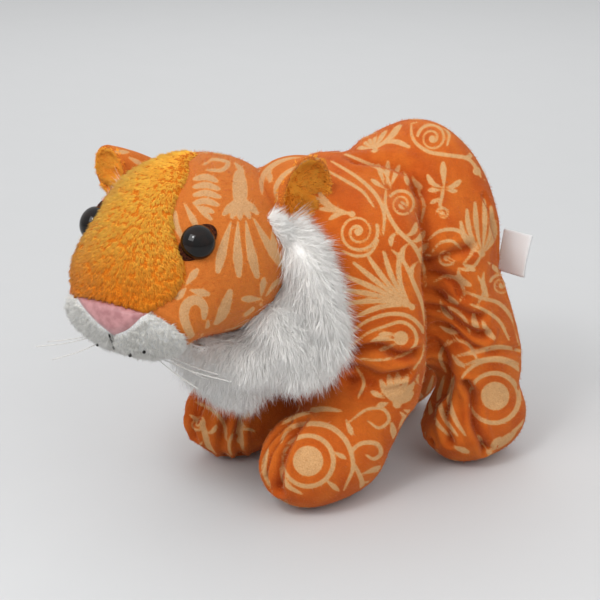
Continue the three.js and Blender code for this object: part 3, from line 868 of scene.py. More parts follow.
class Nodes:
    """The nodes of a material or a world, with a short way to add and join them."""

    def __init__(self, owner: bpy.types.Material | bpy.types.World) -> None:
        """Start with no nodes."""
        owner.use_nodes = True
        self.tree = owner.node_tree
        self.tree.nodes.clear()

    def add(self, kind: str, values: dict | None = None, **settings: object) -> bpy.types.Node:
        """Add a node, set its properties and join or set its inputs."""
        node = self.tree.nodes.new(kind)
        for key, value in settings.items():
            setattr(node, key, value)
        for socket, value in (values or {}).items():
            self.feed(node.inputs[socket], value)
        return node

    def feed(self, socket: bpy.types.NodeSocket, value: object) -> None:
        """Join another node's output to an input, or set the input to a plain value."""
        if isinstance(value, bpy.types.NodeSocket):
            self.tree.links.new(value, socket)
        else:
            socket.default_value = value


class Shader(Nodes):
    """A material's nodes: one shader, and short ways to make what goes into it."""

    def __init__(self, name: str) -> None:
        """Start a material with one shader and its output."""
        self.material = bpy.data.materials.new(name)
        super().__init__(self.material)
        self.surface = self.add("ShaderNodeBsdfPrincipled")
        self.add("ShaderNodeOutputMaterial", {"Surface": self.surface.outputs[0]})
        self.coordinates = self.add("ShaderNodeTexCoord").outputs["Object"]

    def set(self, **values: object) -> None:
        """Set or join inputs of the shader, written with underscores for spaces."""
        for key, value in values.items():
            self.feed(self.surface.inputs[key.replace("_", " ")], value)

    def noise(self, size: float, detail: float = 2.0) -> bpy.types.NodeSocket:
        """Noise whose lumps are about size millimetres."""
        values = {"Vector": self.coordinates, "Scale": 1 / (size * MM), "Detail": detail}
        return self.add("ShaderNodeTexNoise", values).outputs["Fac"]

    def cloud(self, size: float, detail: float, low: float, high: float) -> bpy.types.NodeSocket:
        """Noise that eases from 0 at its low value to 1 at its high one."""
        return self.ramp(self.noise(size, detail), low, high)

    def wave(self, scale: float, distortion: float, detail: float, bands: str) -> bpy.types.NodeSocket:
        """Even bands across one direction."""
        values = {"Vector": self.coordinates, "Scale": scale, "Distortion": distortion, "Detail": detail}
        return self.add("ShaderNodeTexWave", values, bands_direction=bands).outputs["Fac"]

    def fibre_tracks(self) -> tuple[bpy.types.NodeSocket, bpy.types.NodeSocket]:
        """The tone of a fibre and the share along it, which its texture places hold."""
        places_read = self.add("ShaderNodeUVMap", uv_map=TRACKS).outputs[0]
        tracks = self.add("ShaderNodeSeparateXYZ", {0: places_read})
        return tracks.outputs[0], tracks.outputs[1]

    def attribute(self, name: str) -> bpy.types.NodeSocket:
        """A number kept on the mesh."""
        return self.add("ShaderNodeAttribute", attribute_name=name).outputs["Fac"]

    def math(self, operation: str, a: object, b: object = 0.0) -> bpy.types.NodeSocket:
        """One sum on two values."""
        return self.add("ShaderNodeMath", {0: a, 1: b}, operation=operation).outputs[0]

    def ramp(self, value: bpy.types.NodeSocket, low: float, high: float,
             out_low: float = 0.0, out_high: float = 1.0) -> bpy.types.NodeSocket:
        """Ease a value from one range into another."""
        node = self.add("ShaderNodeMapRange", {
            "Value": value, "From Min": low, "From Max": high, "To Min": out_low, "To Max": out_high,
        }, interpolation_type="SMOOTHSTEP")
        return node.outputs["Result"]

    def mix(self, factor: object, a: object, b: object, blend: str = "MIX") -> bpy.types.NodeSocket:
        """Mix two colours."""
        node = self.add("ShaderNodeMix", data_type="RGBA", blend_type=blend)
        for socket, value in zip(MIX_INPUTS, (factor, a, b)):
            self.feed(node.inputs[socket], value)
        return node.outputs[MIX_OUTPUT]

    def times(self, colour: object, factor: object) -> bpy.types.NodeSocket:
        """One colour multiplied by another."""
        return self.mix(1.0, colour, factor, "MULTIPLY")

    def bump(self, height: bpy.types.NodeSocket, depth: float, strength: float = 1.0) -> None:
        """Press a height pattern into the surface, depth in millimetres."""
        node = self.add("ShaderNodeBump", {"Height": height, "Distance": depth * MM, "Strength": strength})
        self.set(Normal=node.outputs["Normal"])


@dataclass(frozen=True)
class PrintedPile:
    """Short velour with the pale scroll print on its orange ground."""

    name: str = "printed_pile"
    ground: Colour = (208, 104, 34)
    ground_deep: Colour = (190, 80, 21)
    motif: Colour = (218, 170, 118)
    motif_rim: Colour = (220, 144, 76)
    motif_core: Colour = (198, 142, 88)
    # The print's faded colours: partly painted light on the head and ears, partly the pile blurring the
    # print.
    motif_low_contrast: Colour = (204, 158, 112)
    ground_low_contrast: Colour = (200, 114, 48)
    speck: Colour = (164, 104, 62)
    nap_shade: Tint = (0.8, 0.78, 0.76, 1)
    nap_light: Tint = (1.06, 1.06, 1.06, 1)
    worn_shade: Tint = (0.96, 0.95, 0.94, 1)
    worn_light: Tint = (1.03, 1.03, 1.03, 1)
    fold_shade: Tint = (0.78, 0.64, 0.56, 1)
    sheen_tint: Tint = (1.0, 0.72, 0.45, 1.0)
    fuzz: float = 0.9
    speck_share: float = 0.55
    pile_depth: float = 0.45

    def build(self) -> bpy.types.Material:
        """Make the material."""
        s = Shader(self.name)
        edge, light_and_pile_fade = self.fuzzy_edge(s), s.attribute("light_and_pile_fade")
        dyed = s.mix(s.cloud(14, 1, 0.3, 0.7), linear(self.ground_deep), linear(self.ground))
        # Painted light in part: the fade mixes the print towards paler, lower-contrast colours, standing in
        # for how the light falls on the head and ears; in part the pile blurring the print.
        ground = s.mix(light_and_pile_fade, dyed, linear(self.ground_low_contrast))
        pale = s.mix(light_and_pile_fade, linear(self.motif), linear(self.motif_low_contrast))
        core = s.mix(s.cloud(0.42, 2, 0.5, 0.7), pale, linear(self.motif_core))
        motif = s.mix(s.ramp(edge, 0.12, 0.5), linear(self.motif_rim), core)
        printed = s.mix(s.ramp(edge, -0.22, 0.24), ground, motif)
        cloth = s.mix(self.specks(s, edge), printed, linear(self.speck))
        nap = s.mix(s.cloud(0.32, 2, 0.3, 0.75), self.nap_shade, self.nap_light)
        worn = s.mix(s.cloud(3.2, 2, 0.3, 0.75), self.worn_shade, self.worn_light)
        # Painted shade: the depth of the narrow creases, seams and chin fold darkens and warms the cloth in
        # them.
        fold = s.mix(s.ramp(s.attribute("fold"), 0.6, 3.0), WHITE, self.fold_shade)
        s.set(Base_Color=s.times(s.times(s.times(cloth, nap), worn), fold), Roughness=0.92,
              Sheen_Weight=0.12, Sheen_Roughness=0.45, Sheen_Tint=self.sheen_tint, Specular_IOR_Level=0.1)
        pile = s.math("ADD", s.noise(0.35, 3), s.math("MULTIPLY", s.noise(1.4, 2), 0.8))
        s.bump(pile, self.pile_depth, 0.8)
        return s.material

    def fuzzy_edge(self, s: Shader) -> bpy.types.NodeSocket:
        """Millimetres inside the pale shapes, made uneven by the pile."""
        fuzz = s.math("MULTIPLY", s.math("SUBTRACT", s.noise(0.5, 3), 0.5), self.fuzz)
        return s.math("ADD", s.attribute("ink"), fuzz)

    def specks(self, s: Shader, edge: bpy.types.NodeSocket) -> bpy.types.NodeSocket:
        """How much the dark specks show along the shapes' rims."""
        at_edge = s.math("MULTIPLY", s.ramp(edge, -0.5, 0.0), s.ramp(edge, 0.5, 0.1))
        return s.math("MULTIPLY", s.math("MULTIPLY", at_edge, s.cloud(0.6, 1, 0.58, 0.68)), self.speck_share)


@dataclass(frozen=True)
class Strand:
    """Pile or fur fibres, shaded from root to tip and from fibre to fibre, with painted shade below a
    height.
    """

    name: str
    root: Colour
    tip: Colour
    tip_other: Colour
    roughness: float = 0.75
    sheen: float = 0.25
    low_shade_tint: Colour = (255, 255, 255)
    tint_from: float = 0.112
    tint_to: float = 0.146

    def build(self) -> bpy.types.Material:
        """Make the material."""
        s = Shader(self.name)
        tone, along = s.fibre_tracks()
        tips = s.mix(tone, linear(self.tip), linear(self.tip_other))
        body = s.mix(s.cloud(7, 2, 0.35, 0.7), s.mix(0.25, tips, linear(self.root)), tips)
        plain = s.mix(s.ramp(along, -0.3, 0.6), linear(self.root), body)
        height = s.add("ShaderNodeSeparateXYZ", {0: s.coordinates}).outputs[2]
        # Painted shade: below a height the fibres are multiplied by a darker, more orange colour, standing
        # in for the shade over the lower face.
        shade_below = s.mix(s.ramp(height, self.tint_from, self.tint_to), linear(self.low_shade_tint), WHITE)
        s.set(Base_Color=s.times(plain, shade_below), Roughness=self.roughness, Sheen_Weight=self.sheen,
              Sheen_Roughness=0.4, Specular_IOR_Level=0.25)
        return s.material


@dataclass(frozen=True)
class PrintedStrand:
    """Short pile of the printed cloth: a tone under one half stands on orange, a higher one on the print."""

    name: str = "printed_strand"
    ground: Colour = (216, 112, 40)
    ground_other: Colour = (194, 84, 24)
    motif: Colour = (222, 176, 124)
    motif_other: Colour = (202, 148, 94)

    def build(self) -> bpy.types.Material:
        """Make the material."""
        s = Shader(self.name)
        tone, _ = s.fibre_tracks()
        orange = s.mix(s.ramp(tone, 0.0, 0.5), linear(self.ground), linear(self.ground_other))
        pale = s.mix(s.ramp(tone, 0.5, 1.0), linear(self.motif), linear(self.motif_other))
        s.set(Base_Color=s.mix(s.ramp(tone, 0.49, 0.51), orange, pale), Roughness=0.85, Sheen_Weight=0.15,
              Sheen_Roughness=0.4, Specular_IOR_Level=0.15)
        return s.material


@dataclass(frozen=True)
class Backing:
    """Knitted backing under pile: fine lumps in two shades."""

    name: str
    light: Colour
    dark: Colour
    lump: float = 0.6
    roughness: float = 0.95
    sheen: float = 0.15

    def build(self) -> bpy.types.Material:
        """Make the material."""
        s = Shader(self.name)
        grain = s.noise(self.lump, 3)
        s.set(Base_Color=s.mix(s.ramp(grain, 0.35, 0.65), linear(self.dark), linear(self.light)),
              Roughness=self.roughness, Specular_IOR_Level=0.1, Sheen_Weight=self.sheen)
        s.bump(grain, 0.4)
        return s.material


@dataclass(frozen=True)
class Satin:
    """Fine satin: a slanting weave with a soft gloss."""

    name: str = "satin"
    light: Colour = (184, 132, 133)
    dark: Colour = (160, 108, 110)
    twill_scale: float = 900.0

    def build(self) -> bpy.types.Material:
        """Make the material."""
        s = Shader(self.name)
        s.set(Base_Color=s.mix(s.cloud(3, 2, 0.3, 0.7), linear(self.dark), linear(self.light)),
              Roughness=0.42, Specular_IOR_Level=0.45, Sheen_Weight=0.3, Sheen_Roughness=0.3,
              Anisotropic=0.4)
        s.bump(s.wave(self.twill_scale, 1.2, 2.0, "DIAGONAL"), 0.08, 0.5)
        return s.material


@dataclass(frozen=True)
class Gloss:
    """Clear-coated dark plastic of a moulded eye."""

    name: str = "eye_gloss"
    dark: Colour = (8, 6, 6)
    warm: Colour = (24, 13, 9)

    def build(self) -> bpy.types.Material:
        """Make the material."""
        s = Shader(self.name)
        s.set(Base_Color=s.mix(s.cloud(5, 1, 0.4, 0.7), linear(self.dark), linear(self.warm)),
              Roughness=0.05, Coat_Weight=0.03, Coat_Roughness=0.03, Specular_IOR_Level=0.3)
        s.bump(s.noise(2.5, 1), 0.01, 0.3)
        return s.material


@dataclass(frozen=True)
class Thread:
    """Thread, cord or tape: one colour with a fine twist."""

    name: str
    light: Colour
    dark: Colour
    twist: float = 0.5
    roughness: float = 0.7
    depth: float = 0.12

    def build(self) -> bpy.types.Material:
        """Make the material."""
        s = Shader(self.name)
        scale = 0.5 / (self.twist * MM)
        weave = s.math("MULTIPLY", s.wave(scale, 0.6, 1.0, "X"), s.wave(scale, 0.6, 1.0, "Z"))
        s.set(Base_Color=s.mix(weave, linear(self.dark), linear(self.light)), Roughness=self.roughness,
              Specular_IOR_Level=0.3)
        s.bump(weave, self.depth)
        return s.material


class Finish(Enum):
    """The finishes of the tiger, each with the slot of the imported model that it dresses."""

    PRINT = PrintedPile(), "print"
    PRINT_PILE = PrintedStrand(), "print"
    # The gold pile gets painted shade low on the face: darker and more orange.
    GOLD_PILE = Strand("gold_pile", (244, 150, 34), (255, 212, 92), (255, 192, 64), sheen=0.04,
                       low_shade_tint=(255, 202, 140)), "gold"
    EAR_PILE = Strand("ear_pile", (250, 118, 12), (255, 190, 72), (255, 164, 48), sheen=0.02), "gold"
    GOLD_BACKING = Backing("gold_backing", (206, 118, 26), (176, 88, 14), sheen=0.0), "gold"
    SHORT_WHITE = Strand("short_white_pile", (190, 188, 182), (250, 248, 243),
                         (236, 234, 227)), "short_white"
    SHORT_BACKING = Backing("short_white_backing", (214, 214, 212), (186, 186, 186)), "short_white"
    LONG_WHITE = Strand("long_white_fur", (250, 247, 242), (255, 254, 251), (255, 252, 248),
                        sheen=0.7), "long_white"
    LONG_BACKING = Backing("long_white_backing", (250, 248, 246), (238, 236, 234), 1.2), "long_white"
    SATIN = Satin(), "satin"
    EYE = Gloss(), "eye"
    FELT = Backing("felt", (78, 38, 22), (36, 16, 10), 0.8, sheen=0.0), "felt"
    DARK_THREAD = Thread("dark_thread", (44, 36, 36), (16, 12, 12), 0.3), "eye"
    NYLON = Thread("nylon", (226, 224, 220), (196, 194, 190), 0.8, 0.25, 0.02), "nylon"
    TAPE = Thread("tape", (250, 250, 250), (228, 228, 228), 0.35, 0.55, 0.1), "tape"


class Wardrobe:
    """Builds each finish once and dresses pieces in it."""

    def __init__(self) -> None:
        """Start with no finishes made."""
        self.made: dict[Finish, bpy.types.Material] = {}

    def dress(self, piece: bpy.types.Object, finish: Finish, *nodes: str, body: str = "tiger",
              fill: float | None = None) -> None:
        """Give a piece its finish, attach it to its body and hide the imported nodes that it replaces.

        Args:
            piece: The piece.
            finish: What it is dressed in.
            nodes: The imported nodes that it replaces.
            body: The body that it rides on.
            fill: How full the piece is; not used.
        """
        recipe, slot = finish.value
        if finish not in self.made:
            self.made[finish] = recipe.build()
        piece.data.materials.clear()
        piece.data.materials.append(self.made[finish])
        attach(piece, body)
        if nodes:
            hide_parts(*nodes)


WARDROBE = Wardrobe()


# Fur

@dataclass(frozen=True)
class Pile:
    """How fibres stand on a skin: their size, number and lie."""

    length: float
    width: float
    count: int
    lift: float
    rings: int = 2
    spread: float = 0.25
    tangle: float = 0.25
    clump: int = 0
    pull: float = 0.0
    sink: float = 0.5
    root_lift: float = 0.35
    tip_lift: float = 0.4
    tip_stray: float = 1.6
    girths: tuple[float, float] = (0.75, 1.2)
    lock_reach: tuple[float, float] = (0.3, 0.7)
    taper: float = 0.7
    lean_power: float = 1.5

    def shape(self) -> tuple[Array, list[list[int]]]:
        """One fibre, standing up from the origin to height one.

        Returns:
            Its corners and its faces.
        """
        fibre = bmesh.new()
        bmesh.ops.create_cone(fibre, cap_ends=False, segments=3, radius1=1.0, radius2=0.0, depth=1.0,
                              matrix=Matrix.Translation((0, 0, 0.5)))
        bmesh.ops.remove_doubles(fibre, verts=fibre.verts, dist=1e-5)
        for ring in range(1, self.rings + 1):
            bmesh.ops.bisect_plane(
                fibre, geom=fibre.verts[:] + fibre.edges[:] + fibre.faces[:],
                plane_co=(0, 0, ring / (self.rings + 1)), plane_no=(0, 0, 1))
        fibre.verts.index_update()
        corners = np.array([v.co[:] for v in fibre.verts])
        faces = [[v.index for v in face.verts] for face in fibre.faces]
        fibre.free()
        return corners, faces

    def grow(self, name: str, skin: bpy.types.Object, comb: Direct, density: Direct, seed: int,
             tones: Callable[[Array, Array, Array], Array] | None = None) -> bpy.types.Object:
        """Set fibres into a skin.

        Args:
            name: The new piece's name.
            skin: The piece whose faces carry the fibres.
            comb: Gives the direction that fibres are brushed in, from points and outward directions.
            density: Gives how thickly fibres stand, from points and outward directions.
            seed: Start of the random draws.
            tones: Turns roots, outward directions and random numbers into the fibres' tones.

        Returns:
            One piece that holds all fibres, with tone and share along each fibre as its texture places.
        """
        draw = np.random.default_rng(seed)
        roots, out = self.sown(skin, density, draw)
        number = len(roots)
        brushed = comb(roots, out)
        brushed = self.headed(brushed - out * np.sum(brushed * out, axis=1, keepdims=True))
        stray = draw.normal(0, self.tangle, (number, 3))
        first = self.headed(out * (self.lift + self.root_lift) + brushed * (1 - self.lift) + stray)
        last = self.headed(out * self.lift * self.tip_lift + brushed + stray * self.tip_stray)
        length = self.length * (1 + draw.uniform(-self.spread, self.spread, (number, 1)))
        corners, faces = self.shape()
        share = np.clip(corners[:, 2], 0, 1)
        tips = roots + length * (0.5 * first + 0.5 * last)
        lean = self.drawn_together(roots, tips, draw)
        side = self.headed(np.cross(first, out + 0.01))
        other = self.headed(np.cross(first, side))
        girth = self.width * draw.uniform(*self.girths, (number, 1))
        points = np.empty((number, len(corners), 3))
        for place, (x, y, _) in enumerate(corners):
            t = share[place]
            radius = math.hypot(x, y)
            swell = (1 - t) ** self.taper / max(1 - t, TINY) if radius > TINY else 0.0
            line = roots - out * self.sink + length * ((t - 0.5 * t * t) * first + 0.5 * t * t * last)
            across = girth / 2 * swell * (side * x + other * y)
            points[:, place] = line + lean * t ** self.lean_power + across
        tone = draw.random(number)
        if tones:
            tone = tones(roots, out, tone)
        return self.written(name, points, faces, share, tone)

    def sown(self, skin: bpy.types.Object, density: Direct,
             draw: np.random.Generator) -> tuple[Array, Array]:
        """Pick the fibres' roots on a skin, with the outward direction at each."""
        mesh = skin.data
        mesh.calc_loop_triangles()
        corner = np.empty(len(mesh.loop_triangles) * 3, np.int32)
        mesh.loop_triangles.foreach_get("vertices", corner)
        corner = corner.reshape(-1, 3)
        points, out = places(skin), normals(skin)
        a, b, c = (points[corner[:, k]] for k in range(3))
        area = np.linalg.norm(np.cross(b - a, c - a), axis=1) / 2
        weight = area * np.clip(density((a + b + c) / 3, out[corner].mean(1)), 0, None)
        chosen = draw.choice(len(corner), self.count, p=weight / weight.sum())
        u, v = draw.random((2, self.count, 1))
        u, v = np.where(u + v > 1, 1 - u, u), np.where(u + v > 1, 1 - v, v)
        roots = a[chosen] + (b - a)[chosen] * u + (c - a)[chosen] * v
        n = out[corner[chosen]]
        return roots, self.headed(n[:, 0] * (1 - u - v) + n[:, 1] * u + n[:, 2] * v)

    def drawn_together(self, roots: Array, tips: Array, draw: np.random.Generator) -> Array:
        """How far each fibre's tip leans to the lock that it belongs to."""
        if not self.clump:
            return np.zeros_like(tips)
        leaders = draw.choice(len(roots), self.clump, replace=False)
        tree = KDTree(self.clump)
        for place, leader in enumerate(leaders):
            tree.insert(roots[leader], place)
        tree.balance()
        found = [tree.find(root) for root in roots]
        closest = np.array([leader[1] for leader in found])
        apart = np.array([leader[2] for leader in found])[:, None]
        alone = ease(apart, *(share * self.length for share in self.lock_reach))
        return (tips[leaders[closest]] - tips) * self.pull * (1 - alone)

    @staticmethod
    def headed(directions: Array) -> Array:
        """Scale rows to length one."""
        return directions / np.maximum(np.linalg.norm(directions, axis=1, keepdims=True), TINY)

    def written(self, name: str, points: Array, faces: list[list[int]], share: Array,
                tone: Array) -> bpy.types.Object:
        """Write placed fibres as one mesh."""
        number, size = points.shape[:2]
        mesh = bpy.data.meshes.new(name)
        lengths = np.array([len(face) for face in faces])
        order = np.concatenate([np.array(face) for face in faces])
        mesh.vertices.add(number * size)
        mesh.loops.add(number * len(order))
        mesh.polygons.add(number * len(faces))
        mesh.vertices.foreach_set("co", (points * MM).astype(np.float32).ravel())
        starts = np.arange(number)[:, None]
        mesh.loops.foreach_set("vertex_index", (starts * size + order).astype(np.int32).ravel())
        first = np.concatenate([[0], np.cumsum(lengths)[:-1]])
        mesh.polygons.foreach_set("loop_start", (starts * len(order) + first).astype(np.int32).ravel())
        mesh.update(calc_edges=True)
        tracks = np.empty((number, len(order), 2), np.float32)
        tracks[:, :, 0] = tone[:, None]
        tracks[:, :, 1] = share[order]
        mesh.uv_layers.new(name=TRACKS).data.foreach_set("uv", tracks.ravel())
        mesh.shade_smooth()
        return link(name, mesh)


def clear_of_joints(points: Array, out: Array) -> Array:
    """One, but nothing near the floor and near the tail and the tape, which move."""
    above_floor, from_moving = (2.0, 4.0), (3.5, 4.5)
    clear = ease(points[:, 2], *above_floor)
    for node in ("tail", "label"):
        moving = skin_tree(frame["nodes"][node])
        gaps = np.array([nearest(moving, point)[2] for point in points])
        clear = clear * ease(gaps, *from_moving)
    return clear


def grow_nap(name: str, skin: bpy.types.Object, count: int, cloth: Print, seed: int,
             density: Direct | None = None) -> None:
    """Stand short pile on the printed cloth, each fibre in the colour of the print at its root.

    Args:
        name: The new piece's name.
        skin: The printed piece.
        count: How many fibres stand.
        cloth: The print.
        seed: Start of the random draws.
        density: Where the fibres stand; clear of the floor and the joints if it isn't given.
    """
    pile = Pile(length=1.7, width=0.26, count=count, lift=0.55, rings=0, spread=0.3, tangle=0.4, sink=0.3)
    backward = np.array([0.0, 0.8, -0.6])
    ground_tones, first_print_tone = 0.48, 0.51

    def comb(points: Array, out: Array) -> Array:
        """Towards the tail and down."""
        return np.tile(backward, (len(points), 1))

    def tones(roots: Array, out: Array, chance: Array) -> Array:
        """Tones under one half on the ground and over it on the print."""
        return ground_tones * chance + np.where(cloth.ink(roots, out) > 0, first_print_tone, 0.0)

    fibres = pile.grow(name, skin, comb, density or clear_of_joints, seed, tones)
    WARDROBE.dress(fibres, Finish.PRINT_PILE)


# The body

@dataclass(frozen=True)
class Fold:
    """A crease in the cloth: a line on the near side, pressed in with a soft swell beside it."""

    pixels: tuple[Point2, ...]
    depth: float
    width: float
    both_sides: bool = True


@dataclass
class Body:
    """The printed cover of the torso and the four legs."""

    stuffing: Stuffing = Stuffing(voxel=4.0, rounds=5, pressure=5.0, swell_cap=2.2, frames=14)
    toe_depth: float = 2.6
    toe_width: float = 1.6
    toe_shares: tuple[float, ...] = (-0.4, 0.05)
    toe_degrees: range = range(-20, 66, 9)
    toe_centre: float = 0.75
    toe_spread: float = 0.12
    from_outside: float = 80.0
    broad: float = 5.0
    deepest: float = 16.0
    under_tape: float = 1.0
    tape_reach: tuple[float, float] = (6.0, 11.0)
    flat_sole: tuple[float, float] = (0.5, 4.0)
    swell_share: float = 0.3
    swell_beside: float = 2.2
    folds: tuple[Fold, ...] = (
        Fold(((428, 215), (432, 250), (434, 290), (437, 330), (437, 365), (427, 400), (414, 428)), 5.0, 6.0),
        Fold(((419, 186), (426, 208), (431, 235), (432, 270), (431, 300), (435, 335), (436, 368)), 4.0, 3.0),
        Fold(((440, 278), (446, 300), (449, 322), (453, 342)), 11.0, 9.0),
        Fold(((452, 350), (444, 368), (438, 390)), 5.0, 6.0),
        Fold(((356, 160), (378, 161), (396, 165), (411, 174), (420, 188)), 2.6, 3.4),
        Fold(((400, 215), (410, 250), (412, 290), (412, 330), (404, 365)), -2.6, 9.0),
        Fold(((346, 353), (362, 350), (382, 348), (398, 355), (414, 352)), 4.4, 2.1),
        Fold(((348, 366), (366, 371), (382, 377), (404, 371)), 4.6, 2.2),
        Fold(((350, 380), (362, 378), (374, 384)), 4.0, 2.4),
        Fold(((360, 394), (380, 389), (400, 386)), 1.4, 1.8),
        Fold(((434, 268), (446, 259), (458, 252), (472, 247)), 3.0, 2.2),
        Fold(((436, 284), (450, 280), (462, 286), (466, 298)), 3.4, 2.2),
        Fold(((436, 300), (452, 306), (468, 316), (482, 318)), 3.8, 2.1),
        Fold(((438, 322), (456, 324), (474, 334), (486, 336)), 4.4, 2.2),
        Fold(((446, 342), (462, 343), (480, 350)), 3.4, 1.8),
        Fold(((484, 196), (490, 212), (494, 232), (500, 262), (506, 295)), 1.2, 1.4),
        Fold(((494, 224), (498, 246), (502, 270)), 2.2, 3.2, False),
        Fold(((476, 352), (492, 352), (518, 350)), 1.8, 1.8),
        Fold(((302, 420), (290, 438), (281, 460), (279, 490)), 5.0, 2.0),
        Fold(((290, 422), (276, 434), (266, 448), (262, 466)), 3.4, 1.7),
        Fold(((466, 384), (474, 398), (476, 426), (486, 450)), 5.0, 1.9),
        Fold(((448, 380), (444, 410), (450, 442)), 3.6, 1.8),
        Fold(((226, 418), (222, 436), (226, 458)), 3.4, 1.8, False),
        Fold(((242, 416), (238, 436), (240, 457)), 3.4, 1.8, False),
    )
    chest_centre: Point3 = (14.0, 2.0, 50.0)
    chest_radii: Point3 = (15.0, 14.0, 12.0)
    light_and_pile_fade: float = 0.15
    joined: tuple[str, ...] = tuple(
        ["torso"] + [f"{end}_{part}_{side}" for end in ("front", "hind")
                     for part in ("leg", "paw") for side in ("left", "right")])
    middle: float = field(init=False)
    piece: bpy.types.Object = field(init=False)

    def __post_init__(self) -> None:
        """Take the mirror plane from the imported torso."""
        low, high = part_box("torso")
        self.middle = (low.x + high.x) / 2 / MM

    def build(self, cloth: Print) -> None:
        """Build the cover, crease it, print it and hand it to the frame."""
        self.piece = self.stuffing.cover("body_cover", self.joined, (self.chest_centre, self.chest_radii))
        subdivided(self.piece, 2)
        cloth.laid_on(self.piece, self.light_and_pile_fade, self.crease())
        WARDROBE.dress(self.piece, Finish.PRINT, *self.joined, fill=0.7)
        grow_nap("body_nap", self.piece, 42000, cloth, 51)

    def lines(self) -> list[tuple[Array, float, float]]:
        """All creases as lines on the cover, with depth and width."""
        skin = skin_tree(self.piece)
        lines = []
        for fold in self.folds:
            line = smooth_line([PHOTO.hit(skin, pixel)[0] for pixel in fold.pixels], 4)
            lines.append((line, fold.depth, fold.width))
            if fold.both_sides:
                across = line.copy()
                across[:, 0] = 2 * self.middle - across[:, 0]
                lines.append((across, fold.depth, fold.width))
        for end in ("front", "hind"):
            for side in ("left", "right"):
                lines += [(line, self.toe_depth, self.toe_width)
                          for line in self.toe_lines(skin, f"{end}_paw_{side}")]
        return lines

    def toe_lines(self, skin: BVHTree, paw: str) -> list[Array]:
        """The lines that part one paw's toes, from the sole up over the front."""
        low, high = (np.array(corner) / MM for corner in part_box(paw))
        half = (high - low) / 2
        centre = np.array([(low[0] + high[0]) / 2, low[1] + half[1] * self.toe_centre, half[2]])
        lines = []
        for share in self.toe_shares:
            line = []
            heart = centre + np.array([share * half[0], 0, 0])
            for degrees in self.toe_degrees:
                a = math.radians(degrees)
                out = np.array([self.toe_spread * share, -math.cos(a), math.sin(a)])
                start = heart + self.from_outside * out
                place, _, _, _ = skin.ray_cast(Vector(start * MM), Vector(unit(heart - start)))
                if place is not None:
                    line.append(np.array(place) / MM)
            lines.append(np.array(line))
        return lines

    def crease(self) -> Array:
        """Press every crease into the cover; return the narrow ones' depth, which paints shade into them."""
        points, out = places(self.piece), normals(self.piece)
        pressed, swelled, crease_shade = np.zeros((3, len(points)))
        for line, depth, width in self.lines():
            low, high = line.min(0) - 4 * width, line.max(0) + 4 * width
            near = np.flatnonzero(((points > low) & (points < high)).all(1))
            gap = -depth_in_line(points[near], line, np.zeros(len(line)))
            push = depth * np.exp(-(gap / width) ** 2)
            pressed[near] += push
            # Painted shade: the narrow creases' depth is kept to darken the cloth in them.
            if width < self.broad:
                crease_shade[near] = np.maximum(crease_shade[near], push)
            swell = self.swell_share * depth * np.exp(-((gap - self.swell_beside * width) / width) ** 2)
            swelled[near] = np.maximum(swelled[near], swell if width < self.broad else 0.0)
        off_floor = ease(points[:, 2], *self.flat_sole)
        move = (swelled - np.minimum(pressed, self.deepest)) * off_floor
        points += out * move[:, None]
        points[:, 2] = np.maximum(points[:, 2], 0.0)
        self.draw_in_at_tape(points)
        move_to(self.piece, points)
        return crease_shade

    def draw_in_at_tape(self, points: Array) -> None:
        """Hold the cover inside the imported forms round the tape, where its seam draws the cloth in."""
        tape = skin_tree(frame["nodes"]["label"])
        forms = BVHTree.FromBMesh(node_shape("torso", "hind_leg_left"))
        for place, point in enumerate(points):
            _, _, gap = nearest(tape, point)
            if gap < self.tape_reach[1]:
                on_form, out, _ = nearest(forms, point)
                rise = (point - on_form) @ out + self.under_tape
                points[place] -= out * max(rise, 0.0) * (1 - ease(gap, *self.tape_reach))


# The head

